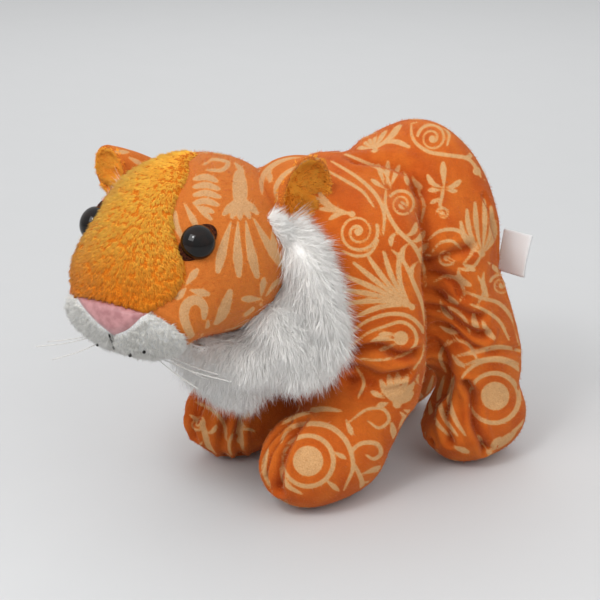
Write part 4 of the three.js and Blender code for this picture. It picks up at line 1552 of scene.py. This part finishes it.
@dataclass
class Head:
    """The head: printed cover, gold face, white muzzle, nose and mouth; its eyes, whiskers and ears are
    built apart.

    Its own frame has its origin in the head's middle and its nose towards -Y, turned about the vertical.
    """

    place_in_tiger: Point3 = (2.0, -80.0, 124.0)
    turn_degrees: float = 21.0
    chest_ahead: float = 64.0
    lean_degrees: float = 52.0
    blaze_low: float = -39.0
    blaze_left: tuple[Point2, ...] = (
        (17.6, -39.0), (26.3, -30.5), (28.7, -21.0), (26.8, -14.5), (24.2, -10.2), (20.7, -6.1),
        (17.3, -1.2), (14.6, 4.3), (12.7, 10.1), (11.2, 17.0), (8.5, 24.1), (2.0, 31.3), (-5.0, 40.0))
    blaze_right: tuple[Point2, ...] = (
        (-13.0, 40.0), (-17.5, 33.0), (-21.5, 28.5), (-25.0, 22.0), (-26.5, 15.0), (-25.0, 6.0),
        (-24.0, -2.0), (-26.0, -10.0), (-29.0, -17.0), (-30.5, -24.0), (-28.0, -31.5), (-20.4, -39.5))
    muzzle_reach: float = 44.5
    muzzle_tilt: float = 38.0
    nose_half: float = 20.0
    nose_height: float = 11.0
    nose_tip_aside: float = 2.0
    panel_margin: float = 1.5
    panel_thickness: float = 0.8
    rim_from: float = -0.7
    dip: float = 0.45
    dip_from: tuple[float, float] = (-1.0, 0.3)
    seam_depth: float = 0.9
    seam_width: float = 1.3
    seam_shade: float = 0.6
    chin_depth: float = 1.8
    chin_width: float = 2.2
    chin_pixels: tuple[Point2, ...] = ((113, 336), (114, 347), (118, 354), (126, 357))
    mouth_pixels: tuple[Point2, ...] = ((109.5, 333), (111, 338), (114, 347))
    stitch_radius: float = 0.38
    dot_radius: float = 0.75
    whisker_dot_pixels: tuple[Point2, ...] = ((98, 344), (131, 353), (145, 350))
    # Painted light in part: the head's print is faded most, as the light falls on it.
    light_and_pile_fade: float = 0.9
    blaze_pile: Pile = Pile(length=3.2, width=0.42, count=58000, lift=0.28, rings=0, tangle=0.14, clump=3000,
                            pull=0.36)
    blaze_spread: float = 0.05
    muzzle_pile: Pile = Pile(length=3.2, width=0.36, count=34000, lift=0.42, rings=0, tangle=0.45,
                             clump=2200, pull=0.42)
    stuffing: Stuffing = Stuffing(voxel=3.2, rounds=4, pressure=0.0, swell_cap=0.0)
    joined: tuple[str, ...] = ("head", "face_blaze", "muzzle")
    piece: bpy.types.Object = field(init=False)
    origin: Array = field(init=False)
    to_row: Array = field(init=False)

    def __post_init__(self) -> None:
        """Work out the head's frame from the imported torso."""
        low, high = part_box("torso")
        shift = np.array([(low.x + high.x) / 2 / MM, low.y / MM + self.chest_ahead, 0.0])
        self.origin = shift + np.array(self.place_in_tiger)
        a = math.radians(self.turn_degrees)
        self.to_row = np.array([[math.cos(a), -math.sin(a), 0], [math.sin(a), math.cos(a), 0], [0, 0, 1]])

    def own(self, points: Array) -> Array:
        """Row-frame points in the head's own frame."""
        return (points - self.origin) @ self.to_row

    def near_side(self, points: Array) -> Array:
        """Row-frame points, mirrored where they aren't on the side of the head that the photograph shows."""
        p = self.own(points)
        p[:, 0] = np.abs(p[:, 0])
        return p @ self.to_row.T + self.origin

    def face_plane(self, points: Array) -> tuple[Array, Array]:
        """Points laid on the leaning plane of the face, and how far in front of it they are."""
        p, a = self.own(points), math.radians(self.lean_degrees)
        rise = p[:, 1] * math.cos(a) + p[:, 2] * math.sin(a)
        ahead = p[:, 2] * math.cos(a) - p[:, 1] * math.sin(a)
        return np.stack([p[:, 0], rise], axis=1), ahead

    def in_blaze(self, points: Array) -> Array:
        """Millimetres inside the gold panel's outline."""
        flat, ahead = self.face_plane(points)
        outline = np.vstack([smooth_line(self.blaze_left, 5), smooth_line(self.blaze_right, 5)])
        return np.minimum(depth_in_outline(flat, outline), ahead)

    def in_nose(self, points: Array) -> Array:
        """Millimetres inside the nose's outline."""
        flat, ahead = self.face_plane(points)
        top, half, tip = self.blaze_low + 1.0, self.nose_half, self.blaze_low - self.nose_height
        aside = self.nose_tip_aside
        outline = np.array(smooth_line([
            (-half, top), (-half + 0.6, top - 2.2), (-half * 0.45, tip + 3.6), (aside - 2.5, tip + 0.3),
            (aside, tip), (aside + 2.5, tip + 0.3), (half * 0.6, tip + 3.6), (half - 1.6, top - 2.2),
            (half - 2.0, top)], 5))
        return np.minimum(depth_in_outline(flat, outline), ahead)

    def in_muzzle(self, points: Array) -> Array:
        """Millimetres inside the white muzzle's outline."""
        a = math.radians(self.muzzle_tilt)
        p = self.own(points)
        reach = -p[:, 1] * math.cos(a) - p[:, 2] * math.sin(a) - self.muzzle_reach
        return np.minimum(reach, -self.in_blaze(points))

    def build(self, cloth: Print) -> None:
        """Build the head's cover, its short pile, the face panels, the nose and the mouth."""
        self.piece = self.stuffing.cover("head_cover", self.joined)
        subdivided(self.piece, 2)
        cloth.laid_on(self.piece, self.light_and_pile_fade, self.sculpt())
        WARDROBE.dress(self.piece, Finish.PRINT, "head", fill=0.85)
        self.grow_cheek_nap(cloth)
        self.build_blaze()
        self.build_muzzle()
        self.build_nose()
        self.build_mouth()

    def grow_cheek_nap(self, cloth: Print) -> None:
        """The printed cloth's short pile, off the face panels."""
        def bare(points: Array, out: Array) -> Array:
            """One outside the gold and the white panel."""
            inside = np.maximum(self.in_blaze(points), self.in_muzzle(points))
            return (inside < -self.panel_margin).astype(float)

        grow_nap("head_nap", self.piece, 13000, cloth, 52, bare)

    def sculpt(self) -> Array:
        """Press in the seams round the face panels and the chin fold; return their depth, which paints shade
        into them.
        """
        points, out = places(self.piece), normals(self.piece)
        edge = np.minimum(np.abs(self.in_blaze(points)), np.abs(self.in_muzzle(points)))
        pressed = self.seam_depth * np.exp(-(edge / self.seam_width) ** 2)
        skin = skin_tree(self.piece)
        chin = smooth_line([PHOTO.hit(skin, pixel)[0] for pixel in self.chin_pixels], 4)
        gap = -depth_in_line(points, chin, np.zeros(len(chin)))
        pressed = np.maximum(pressed, self.chin_depth * np.exp(-(gap / self.chin_width) ** 2))
        move_to(self.piece, points - out * pressed[:, None])
        # Painted shade: the seams' and chin fold's depth darkens the cloth in them.
        return pressed * self.seam_shade

    def panel(self, name: str, inside: Callable[[Array], Array], rise: float,
              roll: float) -> bpy.types.Object:
        """Lift one region of the cover as a panel whose rim dips under the cover.

        Args:
            name: The new piece's name.
            inside: Gives millimetres inside the region.
            rise: How far the panel stands off the cover.
            roll: How wide its rounded edge is.

        Returns:
            The panel.
        """
        shape = bmesh.new()
        shape.from_mesh(self.piece.data)
        shape.verts.ensure_lookup_table()
        depth = inside(places(self.piece))
        outside = [v for v, d in zip(shape.verts, depth) if d < -self.panel_margin]
        bmesh.ops.delete(shape, geom=outside, context="VERTS")
        bmesh.ops.delete(shape, geom=[v for v in shape.verts if not v.link_faces], context="VERTS")
        panel = piece_from(name, shape)
        points, out = places(panel), normals(panel)
        depth = inside(points)
        lift = rise * ease(depth, self.rim_from, roll) - self.dip * (1 - ease(depth, *self.dip_from))
        move_to(panel, points + out * lift[:, None])
        finished(panel, "SOLIDIFY", thickness=self.panel_thickness * MM, offset=-1.0)
        return panel

    def build_blaze(self) -> None:
        """The gold panel and its pile."""
        skin = self.panel("face_blaze_backing", self.in_blaze, 1.1, 2.0)
        WARDROBE.dress(skin, Finish.GOLD_BACKING, "face_blaze")
        down = self.to_row @ np.array([0, -0.5, -0.9])

        def comb(points: Array, out: Array) -> Array:
            """Down the face, and a little out to its sides."""
            return down + self.own(points)[:, :1] * self.blaze_spread * self.to_row[:, 0]

        def cover(points: Array, out: Array) -> Array:
            """The whole panel."""
            return ease(self.in_blaze(points), -0.4, 0.4)

        fur = self.blaze_pile.grow("face_blaze_pile", skin, comb, cover, seed=11)
        WARDROBE.dress(fur, Finish.GOLD_PILE)

    def build_muzzle(self) -> None:
        """The white muzzle panel and its short pile."""
        skin = self.panel("muzzle_backing", self.in_muzzle, 0.9, 1.8)
        WARDROBE.dress(skin, Finish.SHORT_BACKING, "muzzle")
        back = self.to_row @ np.array([0, 0.5, -0.5])
        heart = self.origin + self.to_row @ np.array([0, -self.muzzle_reach, -20.0])

        def comb(points: Array, out: Array) -> Array:
            """Away from the nose, back over the cheeks and chin."""
            return Pile.headed(points - heart) * 0.6 + back

        def cover(points: Array, out: Array) -> Array:
            """Everywhere but under the nose."""
            return ease(self.in_muzzle(points), -0.4, 0.4) * (1 - ease(self.in_nose(points), -0.6, 0.6))

        fur = self.muzzle_pile.grow("muzzle_pile", skin, comb, cover, seed=12)
        WARDROBE.dress(fur, Finish.SHORT_WHITE)

    def build_nose(self) -> None:
        """The satin nose."""
        nose = self.panel("nose_satin", self.in_nose, 2.6, 3.4)
        WARDROBE.dress(nose, Finish.SATIN, "nose")

    def build_mouth(self) -> None:
        """The mouth's stitched line and the dots at the whiskers' roots."""
        skin = skin_tree(bpy.data.objects["muzzle_backing"])
        line = smooth_line([self.above(skin, pixel, 0.9) for pixel in self.mouth_pixels], 4)
        WARDROBE.dress(tube("mouth_stitch", line, self.stitch_radius), Finish.DARK_THREAD)
        dots = bmesh.new()
        for pixel in self.whisker_dot_pixels:
            place = moved(self.above(skin, pixel, 1.1))
            bmesh.ops.create_icosphere(dots, subdivisions=2, radius=self.dot_radius * MM, matrix=place)
        WARDROBE.dress(piece_from("whisker_dots", dots), Finish.DARK_THREAD)

    @staticmethod
    def above(skin: BVHTree, pixel: Point2, rise: float) -> Array:
        """The point that a pixel sees on a skin, raised off it."""
        place, out = PHOTO.hit(skin, pixel)
        return place + out * rise


# Threads, eyes and whiskers

def tube(name: str, line: Array, radius: float, sides: int = 8) -> bpy.types.Object:
    """A round thread along a line, with its ends closed.

    Args:
        name: The new piece's name.
        line: The thread's middle, one point a row.
        radius: Half its thickness.
        sides: Corners of its section.

    Returns:
        The thread.
    """
    shape = bmesh.new()
    rings = []
    for place, point in enumerate(line):
        ahead = unit(line[min(place + 1, len(line) - 1)] - line[max(place - 1, 0)])
        turn = Vector(ahead).to_track_quat("Z", "Y").to_matrix().to_4x4()
        ring = bmesh.ops.create_circle(shape, segments=sides, radius=radius * MM, matrix=moved(point) @ turn)
        rings.append(ring["verts"])
    for low, high in zip(rings, rings[1:]):
        edges = [e for e in shape.edges if all(v in low for v in e.verts) or all(v in high for v in e.verts)]
        bmesh.ops.bridge_loops(shape, edges=edges)
    bmesh.ops.holes_fill(shape, edges=[e for e in shape.edges if e.is_boundary], sides=sides)
    return piece_from(name, shape)


@dataclass
class Eyes:
    """The two moulded eyes on their felt."""

    radius: float = 7.3
    bulge_share: float = 0.8
    felt_long: float = 9.8
    felt_short: float = 5.6
    felt_lean_degrees: float = 38.0
    felt_rings: tuple[float, ...] = (0.18, 0.25, 0.3)
    felt_lift: float = 0.35
    far_eye_sunk: float = 2.2
    far_eye_lowered: float = 1.6

    def axis(self, side: str, head: Head) -> tuple[Array, Array]:
        """The top of one packed eye and the direction that it looks in."""
        points = places(frame["nodes"][f"eye_{side}"])
        reach = np.linalg.norm(points - head.origin, axis=1)
        top, shank = points[reach.argmax()], points[reach.argmin()]
        return top, unit(top - shank)

    def build(self, head: Head) -> None:
        """Build both eyes and their felt."""
        skin = skin_tree(head.piece)
        for side in ("left", "right"):
            top, out = self.axis(side, head)
            across = unit(np.cross(np.array([0, 0, 1.0]), out))
            upward = np.cross(out, across)
            turn = Matrix((across, upward, out)).transposed().to_4x4()
            sunk, lowered = (self.far_eye_sunk, self.far_eye_lowered) if side == "right" else (0.0, 0.0)
            centre = top - out * (self.radius * self.bulge_share + sunk)
            self.build_ball(side, turn, centre - upward * lowered)
            self.build_felt(side, skin, turn, centre, out)

    def build_ball(self, side: str, turn: Matrix, centre: Array) -> None:
        """One glossy ball, a little flattened."""
        ball = bmesh.new()
        stretch = Matrix.Diagonal((1, 1, self.bulge_share, 1))
        bmesh.ops.create_uvsphere(ball, u_segments=48, v_segments=32, radius=self.radius * MM,
                                  matrix=moved(centre) @ turn @ stretch)
        WARDROBE.dress(piece_from(f"eye_ball_{side}", ball), Finish.EYE, f"eye_{side}")

    def build_felt(self, side: str, skin: BVHTree, turn: Matrix, centre: Array, out: Array) -> None:
        """One oval of felt that lies on the head's skin."""
        felt = bmesh.new()
        lean = math.radians(self.felt_lean_degrees * (1 if side == "left" else -1))
        tilt = Matrix.Rotation(lean, 4, "Z")
        stretch = Matrix.Diagonal((self.felt_long, self.felt_short, 1, 1))
        place = moved(centre) @ turn @ tilt @ stretch
        bmesh.ops.create_circle(felt, cap_ends=True, segments=40, radius=MM, matrix=place)
        for thickness in self.felt_rings:
            bmesh.ops.inset_region(felt, faces=[f for f in felt.faces if len(f.verts) > 4],
                                   thickness=thickness * self.felt_short * MM)
        for vert in felt.verts:
            start = vert.co + Vector(out) * 0.02
            hit, normal, _, _ = skin.ray_cast(start, -Vector(out))
            if hit is not None:
                vert.co = hit + normal * self.felt_lift * MM
        piece = piece_from(f"eye_felt_{side}", felt)
        finished(piece, "SOLIDIFY", thickness=1.0 * MM, offset=0.0)
        WARDROBE.dress(piece, Finish.FELT, f"eye_backing_{side}")


@dataclass
class Whiskers:
    """The clear whiskers, thin and bowed along their packed lines."""

    radius: float = 0.22
    ring_corners: int = 6

    def build(self) -> None:
        """Build one thread for each packed whisker."""
        for name in sorted(frame["nodes"]):
            if not name.startswith("whisker_"):
                continue
            points = places(frame["nodes"][name])
            middle = points.mean(0)
            first = points[np.linalg.norm(points - middle, axis=1).argmax()]
            last = points[np.linalg.norm(points - first, axis=1).argmax()]
            ring = np.argsort(np.linalg.norm(points - (first + last) / 2, axis=1))[:self.ring_corners]
            centre = points[ring].mean(0)
            thread = tube(f"{name}_thread", smooth_line([first, centre, last], 7), self.radius, 6)
            WARDROBE.dress(thread, Finish.NYLON, name)


# The ears

@dataclass(frozen=True)
class EarPose:
    """Where one ear's rim is seen, and which way its hollow faces, in the viewer's directions."""

    pixel: Point2
    right: float
    up: float
    towards: float
    radius: float
    depth: float
    hollow_depth: float
    behind: float
    lean_in: float

    @property
    def hollow(self) -> Array:
        """The way that the hollow faces, in the row frame."""
        axes = PHOTO.axes
        return unit(axes.right * self.right + axes.up * self.up + axes.towards * self.towards)

    def centre(self, node: str, skin: BVHTree) -> Array:
        """The rim's middle: on the pixel's line, behind the place where it comes closest to the head."""
        low, high = (np.array(corner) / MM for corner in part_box(node))
        ray = PHOTO.ray(self.pixel)
        middle = ((low + high) / 2 - PHOTO.place) @ ray
        places_on_line = [PHOTO.place + ray * (middle + step) for step in range(-24, 25, 2)]
        closest = min(places_on_line, key=lambda place: nearest(skin, place)[2])
        return closest + ray * self.behind


@dataclass
class Ears:
    """The two ears: a rounded printed back and a gold lining with pile, folded inside."""

    poses: dict[str, EarPose] = field(default_factory=lambda: {
        "left": EarPose(pixel=(305, 195), right=0.8, up=-0.22, towards=0.6, radius=17.0, depth=26.0,
                        hollow_depth=7.0, behind=0.0, lean_in=0.0),
        "right": EarPose(pixel=(112, 170), right=-0.8, up=-0.25, towards=0.62, radius=11.5, depth=24.0,
                         hollow_depth=4.5, behind=9.0, lean_in=14.0),
    })
    # Painted light in part: the ears' print is faded towards low contrast.
    light_and_pile_fade: float = 0.7
    wall: float = 1.6
    fold_slope: float = 0.5
    cut_height: float = 0.05
    lining_inset: float = 0.2
    pile: Pile = Pile(length=3.2, width=0.36, count=13000, lift=0.4, rings=0, tangle=0.25, clump=600,
                      pull=0.45)
    tuck: float = 4.6
    inward: Array = field(default_factory=lambda: np.zeros(3))

    def build(self, cloth: Print, head: Head) -> None:
        """Build both ears."""
        skin = skin_tree(head.piece)
        for side, seed in (("left", 21), ("right", 22)):
            pose = self.poses[side]
            centre = pose.centre(f"ear_{side}", skin)
            root, _, _ = nearest(skin, centre)
            self.inward = unit(root - centre) * pose.lean_in / pose.depth
            back = self.bowl(f"ear_back_{side}", pose, centre, 0.0, pose.depth)
            cloth.laid_on(back, self.light_and_pile_fade)
            WARDROBE.dress(back, Finish.PRINT, f"ear_{side}", fill=0.3)
            lining_name = f"ear_lining_cloth_{side}"
            lining = self.bowl(lining_name, pose, centre, self.lining_inset, pose.hollow_depth)
            WARDROBE.dress(lining, Finish.GOLD_BACKING, f"ear_lining_{side}", fill=0.3)
            self.line_with_pile(side, lining, pose, centre, seed)

    def bowl(self, name: str, pose: EarPose, centre: Array, inset: float, depth: float) -> bpy.types.Object:
        """One layer of an ear: half a ball that opens towards the hollow.

        Args:
            name: The new piece's name.
            pose: How the ear stands.
            centre: The rim's middle.
            inset: How far the layer's rim lies inside the ear's outer skin.
            depth: How deep the layer is behind its rim.

        Returns:
            The layer, with its thickness.
        """
        ball = bmesh.new()
        bmesh.ops.create_uvsphere(ball, u_segments=72, v_segments=48, radius=1.0)
        bmesh.ops.bisect_plane(ball, geom=ball.verts[:] + ball.edges[:] + ball.faces[:],
                               plane_co=(0, 0, self.cut_height), plane_no=(0, 0, 1), clear_outer=True)
        turn = Vector(pose.hollow).to_track_quat("Z", "Y").to_matrix().to_4x4()
        size = Matrix.Diagonal((pose.radius - inset, pose.radius - inset, depth, 1))
        place = moved(centre) @ Matrix.Scale(MM, 4) @ turn @ size
        bmesh.ops.transform(ball, matrix=place, verts=ball.verts)
        layer = piece_from(name, ball)
        points = places(layer)
        if inset:
            points += pose.hollow * self.folded(points, pose, centre)[:, None]
        points += np.maximum(-(points - centre) @ pose.hollow, 0.0)[:, None] * self.inward
        move_to(layer, points)
        finished(layer, "SOLIDIFY", thickness=self.wall * MM, offset=-1.0)
        return layer

    def folded(self, points: Array, pose: EarPose, centre: Array) -> Array:
        """How far the lining rises below its fold line, where the ear is tucked."""
        from_centre = points - centre
        below = -(from_centre @ PHOTO.axes.up) - self.fold_slope * (from_centre @ PHOTO.axes.right)
        inside = ease(-(from_centre @ pose.hollow), 1.0, 6.0)
        return self.tuck * ease(below, -1.0, 3.0) * inside

    def line_with_pile(self, side: str, lining: bpy.types.Object, pose: EarPose, centre: Array,
                       seed: int) -> None:
        """Set gold pile on the hollow face of one ear."""
        out_of_hollow = 30.0

        def facing_in(points: Array, out: Array) -> Array:
            """One where the lining faces into the hollow."""
            return (np.sum(out * (centre - points), axis=1) > 0).astype(float)

        def comb(points: Array, out: Array) -> Array:
            """Out of the hollow and away from its middle."""
            return (points - centre) + out_of_hollow * pose.hollow

        fur = self.pile.grow(f"ear_pile_{side}", lining, comb, facing_in, seed)
        WARDROBE.dress(fur, Finish.EAR_PILE)


# The long white fur

@dataclass
class Ruff:
    """The long white fur: cheeks, throat and bib on one padded cloth."""

    pile: Pile = Pile(length=12.5, width=0.27, count=15500, lift=0.32, rings=1, spread=0.4, tangle=0.26,
                      clump=1000, pull=0.35, sink=1.5)
    tuft: Pile = Pile(length=9.0, width=0.27, count=9500, lift=0.65, rings=1, spread=0.4, tangle=0.4,
                      clump=500, pull=0.35, sink=1.0)
    tuft_outline: tuple[Point2, ...] = (
        (266, 216), (271, 214), (288, 236), (312, 250), (310, 300), (292, 322), (262, 336), (226, 356),
        (216, 349), (252, 322), (279, 296), (290, 270), (284, 246), (272, 230))
    down: Point3 = (0.0, 0.1, -1.0)
    cheek_back: Point3 = (0.0, 0.45, 0.1)
    voxel: float = 2.5
    inset: float = 4.0
    drawn_in: Point3 = (5.0, 6.5, 2.0)
    far_side_wider: float = 10.0
    off_middle: float = 12.0
    cheek_heights: tuple[float, float] = (100.0, 114.0)
    cheek_thinned: float = 0.7
    fillers: tuple[tuple[Point3, Point3], ...] = (
        ((40.0, -30.0, 88.0), (16.0, 14.0, 22.0)),
        ((28.0, -44.0, 77.0), (18.0, 14.0, 15.0)),
        ((44.0, -26.0, 73.0), (13.0, 12.0, 11.0)),
    )
    joined: tuple[str, ...] = ("ruff_left", "ruff_right", "bib")

    def build(self, middle: float, head: Head) -> None:
        """Build the cloth and its fur.

        Args:
            middle: Where the tiger's mirror plane crosses X.
            head: The finished head, whose cheeks carry a tuft each.
        """
        skin = self.build_cloth(middle)

        def comb(points: Array, out: Array) -> Array:
            """Down, and a little back on the cheeks."""
            return np.array(self.down) + ease(points[:, 2], 80, 125)[:, None] * np.array(self.cheek_back)

        for place, (name, inside) in enumerate(self.regions(middle).items()):
            fur = self.pile.grow(f"{name}_fur", skin, comb, inside, 31 + place)
            WARDROBE.dress(fur, Finish.LONG_WHITE)
        self.build_tufts(head)

    def build_tufts(self, head: Head) -> None:
        """The fluff that runs up from the ruff to the ears, over the back of each cheek."""
        outline = np.array(self.tuft_outline, float)

        def comb(points: Array, out: Array) -> Array:
            """Back and down, away from the face."""
            return np.tile(head.to_row @ np.array([0.0, 0.8, -0.5]), (len(points), 1))

        for place, (side, sign) in enumerate((("left", 1), ("right", -1))):
            def inside(points: Array, out: Array, sign: int = sign) -> Array:
                """One inside the outline on one side of the head."""
                depth = depth_in_outline(PHOTO.pixels(head.near_side(points)), outline)
                wider = self.far_side_wider if sign < 0 else 0.0
                return ease(depth + wider, 0.0, 3.0) * (head.own(points)[:, 0] * sign > self.off_middle)

            fur = self.tuft.grow(f"cheek_tuft_{side}", head.piece, comb, inside, 41 + place)
            WARDROBE.dress(fur, Finish.LONG_WHITE)

    def build_cloth(self, middle: float) -> bpy.types.Object:
        """The padded cloth that carries the fur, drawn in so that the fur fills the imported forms."""
        shape = node_shape(*self.joined)
        for side in (1, -1):
            for (x, y, z), radii in self.fillers:
                add_wad(shape, (middle + side * (x - middle), y, z), radii)
        skin = piece_from("ruff_cloth", shape)
        finished(skin, "REMESH", mode="VOXEL", voxel_size=self.voxel * MM)
        relaxed(skin, 8)
        points = places(skin) - normals(skin) * self.inset
        high, sideways = ease(points[:, 2], 80, 108)[:, None], np.ones_like(points)
        sideways[:, 0] = np.sign(points[:, 0] - middle)
        points -= high * np.array(self.drawn_in) * sideways
        move_to(skin, points)
        relaxed(skin, 2)
        WARDROBE.dress(skin, Finish.LONG_BACKING, *self.joined, fill=0.5)
        return skin

    def regions(self, middle: float) -> dict[str, Direct]:
        """The parts of the cloth that each carry their own piece of fur."""
        throat, half_bib = 96.0, 20.0

        def share(low: float, high: float, bottom: float, top: float) -> Direct:
            """Points between two distances from the mirror plane and two heights."""
            def inside(points: Array, out: Array) -> Array:
                """One inside the part, less where it faces the cheek, and nothing outside."""
                across, height = points[:, 0] - middle, points[:, 2]
                within = (across >= low) & (across < high) & (height >= bottom) & (height < top)
                faces_cheek = ease(-out[:, 1], 0.1, 0.6) * ease(height, *self.cheek_heights)
                return within * (1 - self.cheek_thinned * faces_cheek)
            return inside

        far = 200.0
        return {
            "cheek_left": share(0, far, throat, far), "cheek_right": share(-far, 0, throat, far),
            "ruff_left": share(half_bib, far, 0, throat), "ruff_right": share(-far, -half_bib, 0, throat),
            "bib": share(-half_bib, half_bib, 0, throat),
        }


# The pieces that move

@dataclass
class Tail:
    """The hanging tail."""

    levels: int = 3
    light_and_pile_fade: float = 0.15

    def build(self, cloth: Print) -> None:
        """Build the tail's cover."""
        piece = piece_from("tail_cover", node_shape("tail"))
        subdivided(piece, self.levels)
        cloth.laid_on(piece, self.light_and_pile_fade)
        WARDROBE.dress(piece, Finish.PRINT, "tail", body="tail", fill=0.8)


@dataclass
class Tape:
    """The folded white tape, left bare: one sheet that runs out from its seam and back."""

    gap: float = 0.9
    thickness: float = 0.35
    wave: float = 0.9
    ripple: float = 0.5
    ripple_turns: float = 5.0
    turn_share: float = 0.05

    def corners(self) -> tuple[Array, Array]:
        """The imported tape's seam edge and outer edge, each from its low end to its high end."""
        points = places(frame["nodes"]["label"])
        seen = PHOTO.pixels(points)
        rising, falling = seen[:, 0] - seen[:, 1], seen[:, 0] + seen[:, 1]
        seam = np.array([points[rising.argmin()], points[falling.argmin()]])
        outer = np.array([points[falling.argmax()], points[rising.argmax()]])
        return seam, outer

    def build(self) -> None:
        """Build the sheet."""
        seam, outer = self.corners()
        shape = bmesh.new()
        bmesh.ops.create_grid(shape, x_segments=48, y_segments=24, size=0.5)
        across = unit(np.cross(outer[0] - seam[0], seam[1] - seam[0]))
        for vert in shape.verts:
            along, height = vert.co.x + 0.5, vert.co.y + 0.5
            reach = 1 - abs(2 * along - 1)
            side = np.clip((0.5 - along) / self.turn_share, -1, 1)
            inner = seam[0] + (seam[1] - seam[0]) * height
            far = outer[0] + (outer[1] - outer[0]) * height
            bow = self.wave * math.sin(math.pi * height) + self.ripple * math.sin(self.ripple_turns * height)
            point = inner + (far - inner) * reach + across * (side * self.gap / 2 + bow * reach)
            vert.co = Vector(point * MM)
        sheet = piece_from("tape_sheet", shape)
        finished(sheet, "SOLIDIFY", thickness=self.thickness * MM, offset=0.0)
        WARDROBE.dress(sheet, Finish.TAPE, "label", body="label")
        height = np.linalg.norm(seam[1] - seam[0]) * MM


# What the tiger is shown in

@dataclass
class Studio:
    """A pale floor, a pale surround and soft lamps."""

    floor_colour: Colour = (196, 197, 198)
    seen_colour: Colour = (219, 218, 219)
    floor_radius: float = 6.0
    surround_low: float = 0.54
    surround_high: float = 1.0
    aim_height: float = 0.07
    lamps: tuple[tuple[str, Point3, float, float], ...] = (
        ("key", (0.3, -0.9, 0.95), 0.7, 6.2),
        ("fill", (0.95, -0.1, 0.7), 0.8, 3.0),
        ("back", (-0.8, 0.5, 0.8), 0.8, 2.5),
        ("catch_light", (0.32, -0.61, 0.815), 0.13, 1.5),
    )
    mirrored_lamps: tuple[str, ...] = ("key", "catch_light")

    def build(self) -> None:
        """Build the floor, the world and the lamps."""
        PHOTO.build_camera()
        scene = bpy.context.scene
        scene.view_settings.view_transform = "Standard"
        self.build_floor()
        self.build_world(scene)
        for lamp in self.lamps:
            self.build_lamp(*lamp)

    def build_floor(self) -> None:
        """A wide plain floor."""
        shape = bmesh.new()
        bmesh.ops.create_circle(shape, cap_ends=True, segments=64, radius=self.floor_radius)
        floor = piece_from("floor", shape)
        s = Shader("floor")
        s.set(Base_Color=s.mix(s.noise(40, 2), linear(self.floor_colour, 0.98), linear(self.floor_colour)),
              Roughness=0.85, Specular_IOR_Level=0.2)
        floor.data.materials.append(s.material)
        floor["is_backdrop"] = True

    def build_world(self, scene: bpy.types.Scene) -> None:
        """Light from all round, and the floor's colour behind everything."""
        scene.world = bpy.data.worlds.new("surround")
        nodes = Nodes(scene.world)
        way = nodes.add("ShaderNodeSeparateXYZ", {0: nodes.add("ShaderNodeTexCoord").outputs["Generated"]})
        rise = nodes.add("ShaderNodeMapRange", {
            "Value": way.outputs[2], "To Min": self.surround_low, "To Max": self.surround_high})
        light = nodes.add("ShaderNodeBackground", {"Color": WHITE, "Strength": rise.outputs["Result"]})
        seen = nodes.add("ShaderNodeBackground", {"Color": linear(self.seen_colour)})
        straight = nodes.add("ShaderNodeLightPath").outputs["Is Camera Ray"]
        mix = nodes.add("ShaderNodeMixShader", {0: straight, 1: light.outputs[0], 2: seen.outputs[0]})
        nodes.add("ShaderNodeOutputWorld", {"Surface": mix.outputs[0]})

    def build_lamp(self, name: str, place: Point3, size: float, power: float) -> None:
        """A soft square lamp that faces the tiger; its place and size are in metres, its power in watts."""
        lamp = bpy.data.lights.new(name, "AREA")
        lamp.size, lamp.energy = size, power
        piece = bpy.data.objects.new(name, lamp)
        piece.visible_glossy = name in self.mirrored_lamps
        aim = Vector((0, 0, self.aim_height)) - Vector(place)
        piece.matrix_world = Matrix.Translation(place) @ aim.to_track_quat("-Z", "Y").to_matrix().to_4x4()
        bpy.context.scene.collection.objects.link(piece)


def main() -> None:
    """Build the tiger, piece by piece."""
    logging.basicConfig(level=logging.INFO, format="%(message)s")
    Studio().build()
    cloth = Print()
    body, head = Body(), Head()
    body.build(cloth)
    head.build(cloth)
    Eyes().build(head)
    Whiskers().build()
    Ears().build(cloth, head)
    Ruff().build(body.middle, head)
    Tail().build(cloth)
    Tape().build()
    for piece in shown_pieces():
        piece.data.calc_loop_triangles()
        LOG.info("%s: %d triangles", piece.name, len(piece.data.loop_triangles))


if __name__ == "__main__":
    main()
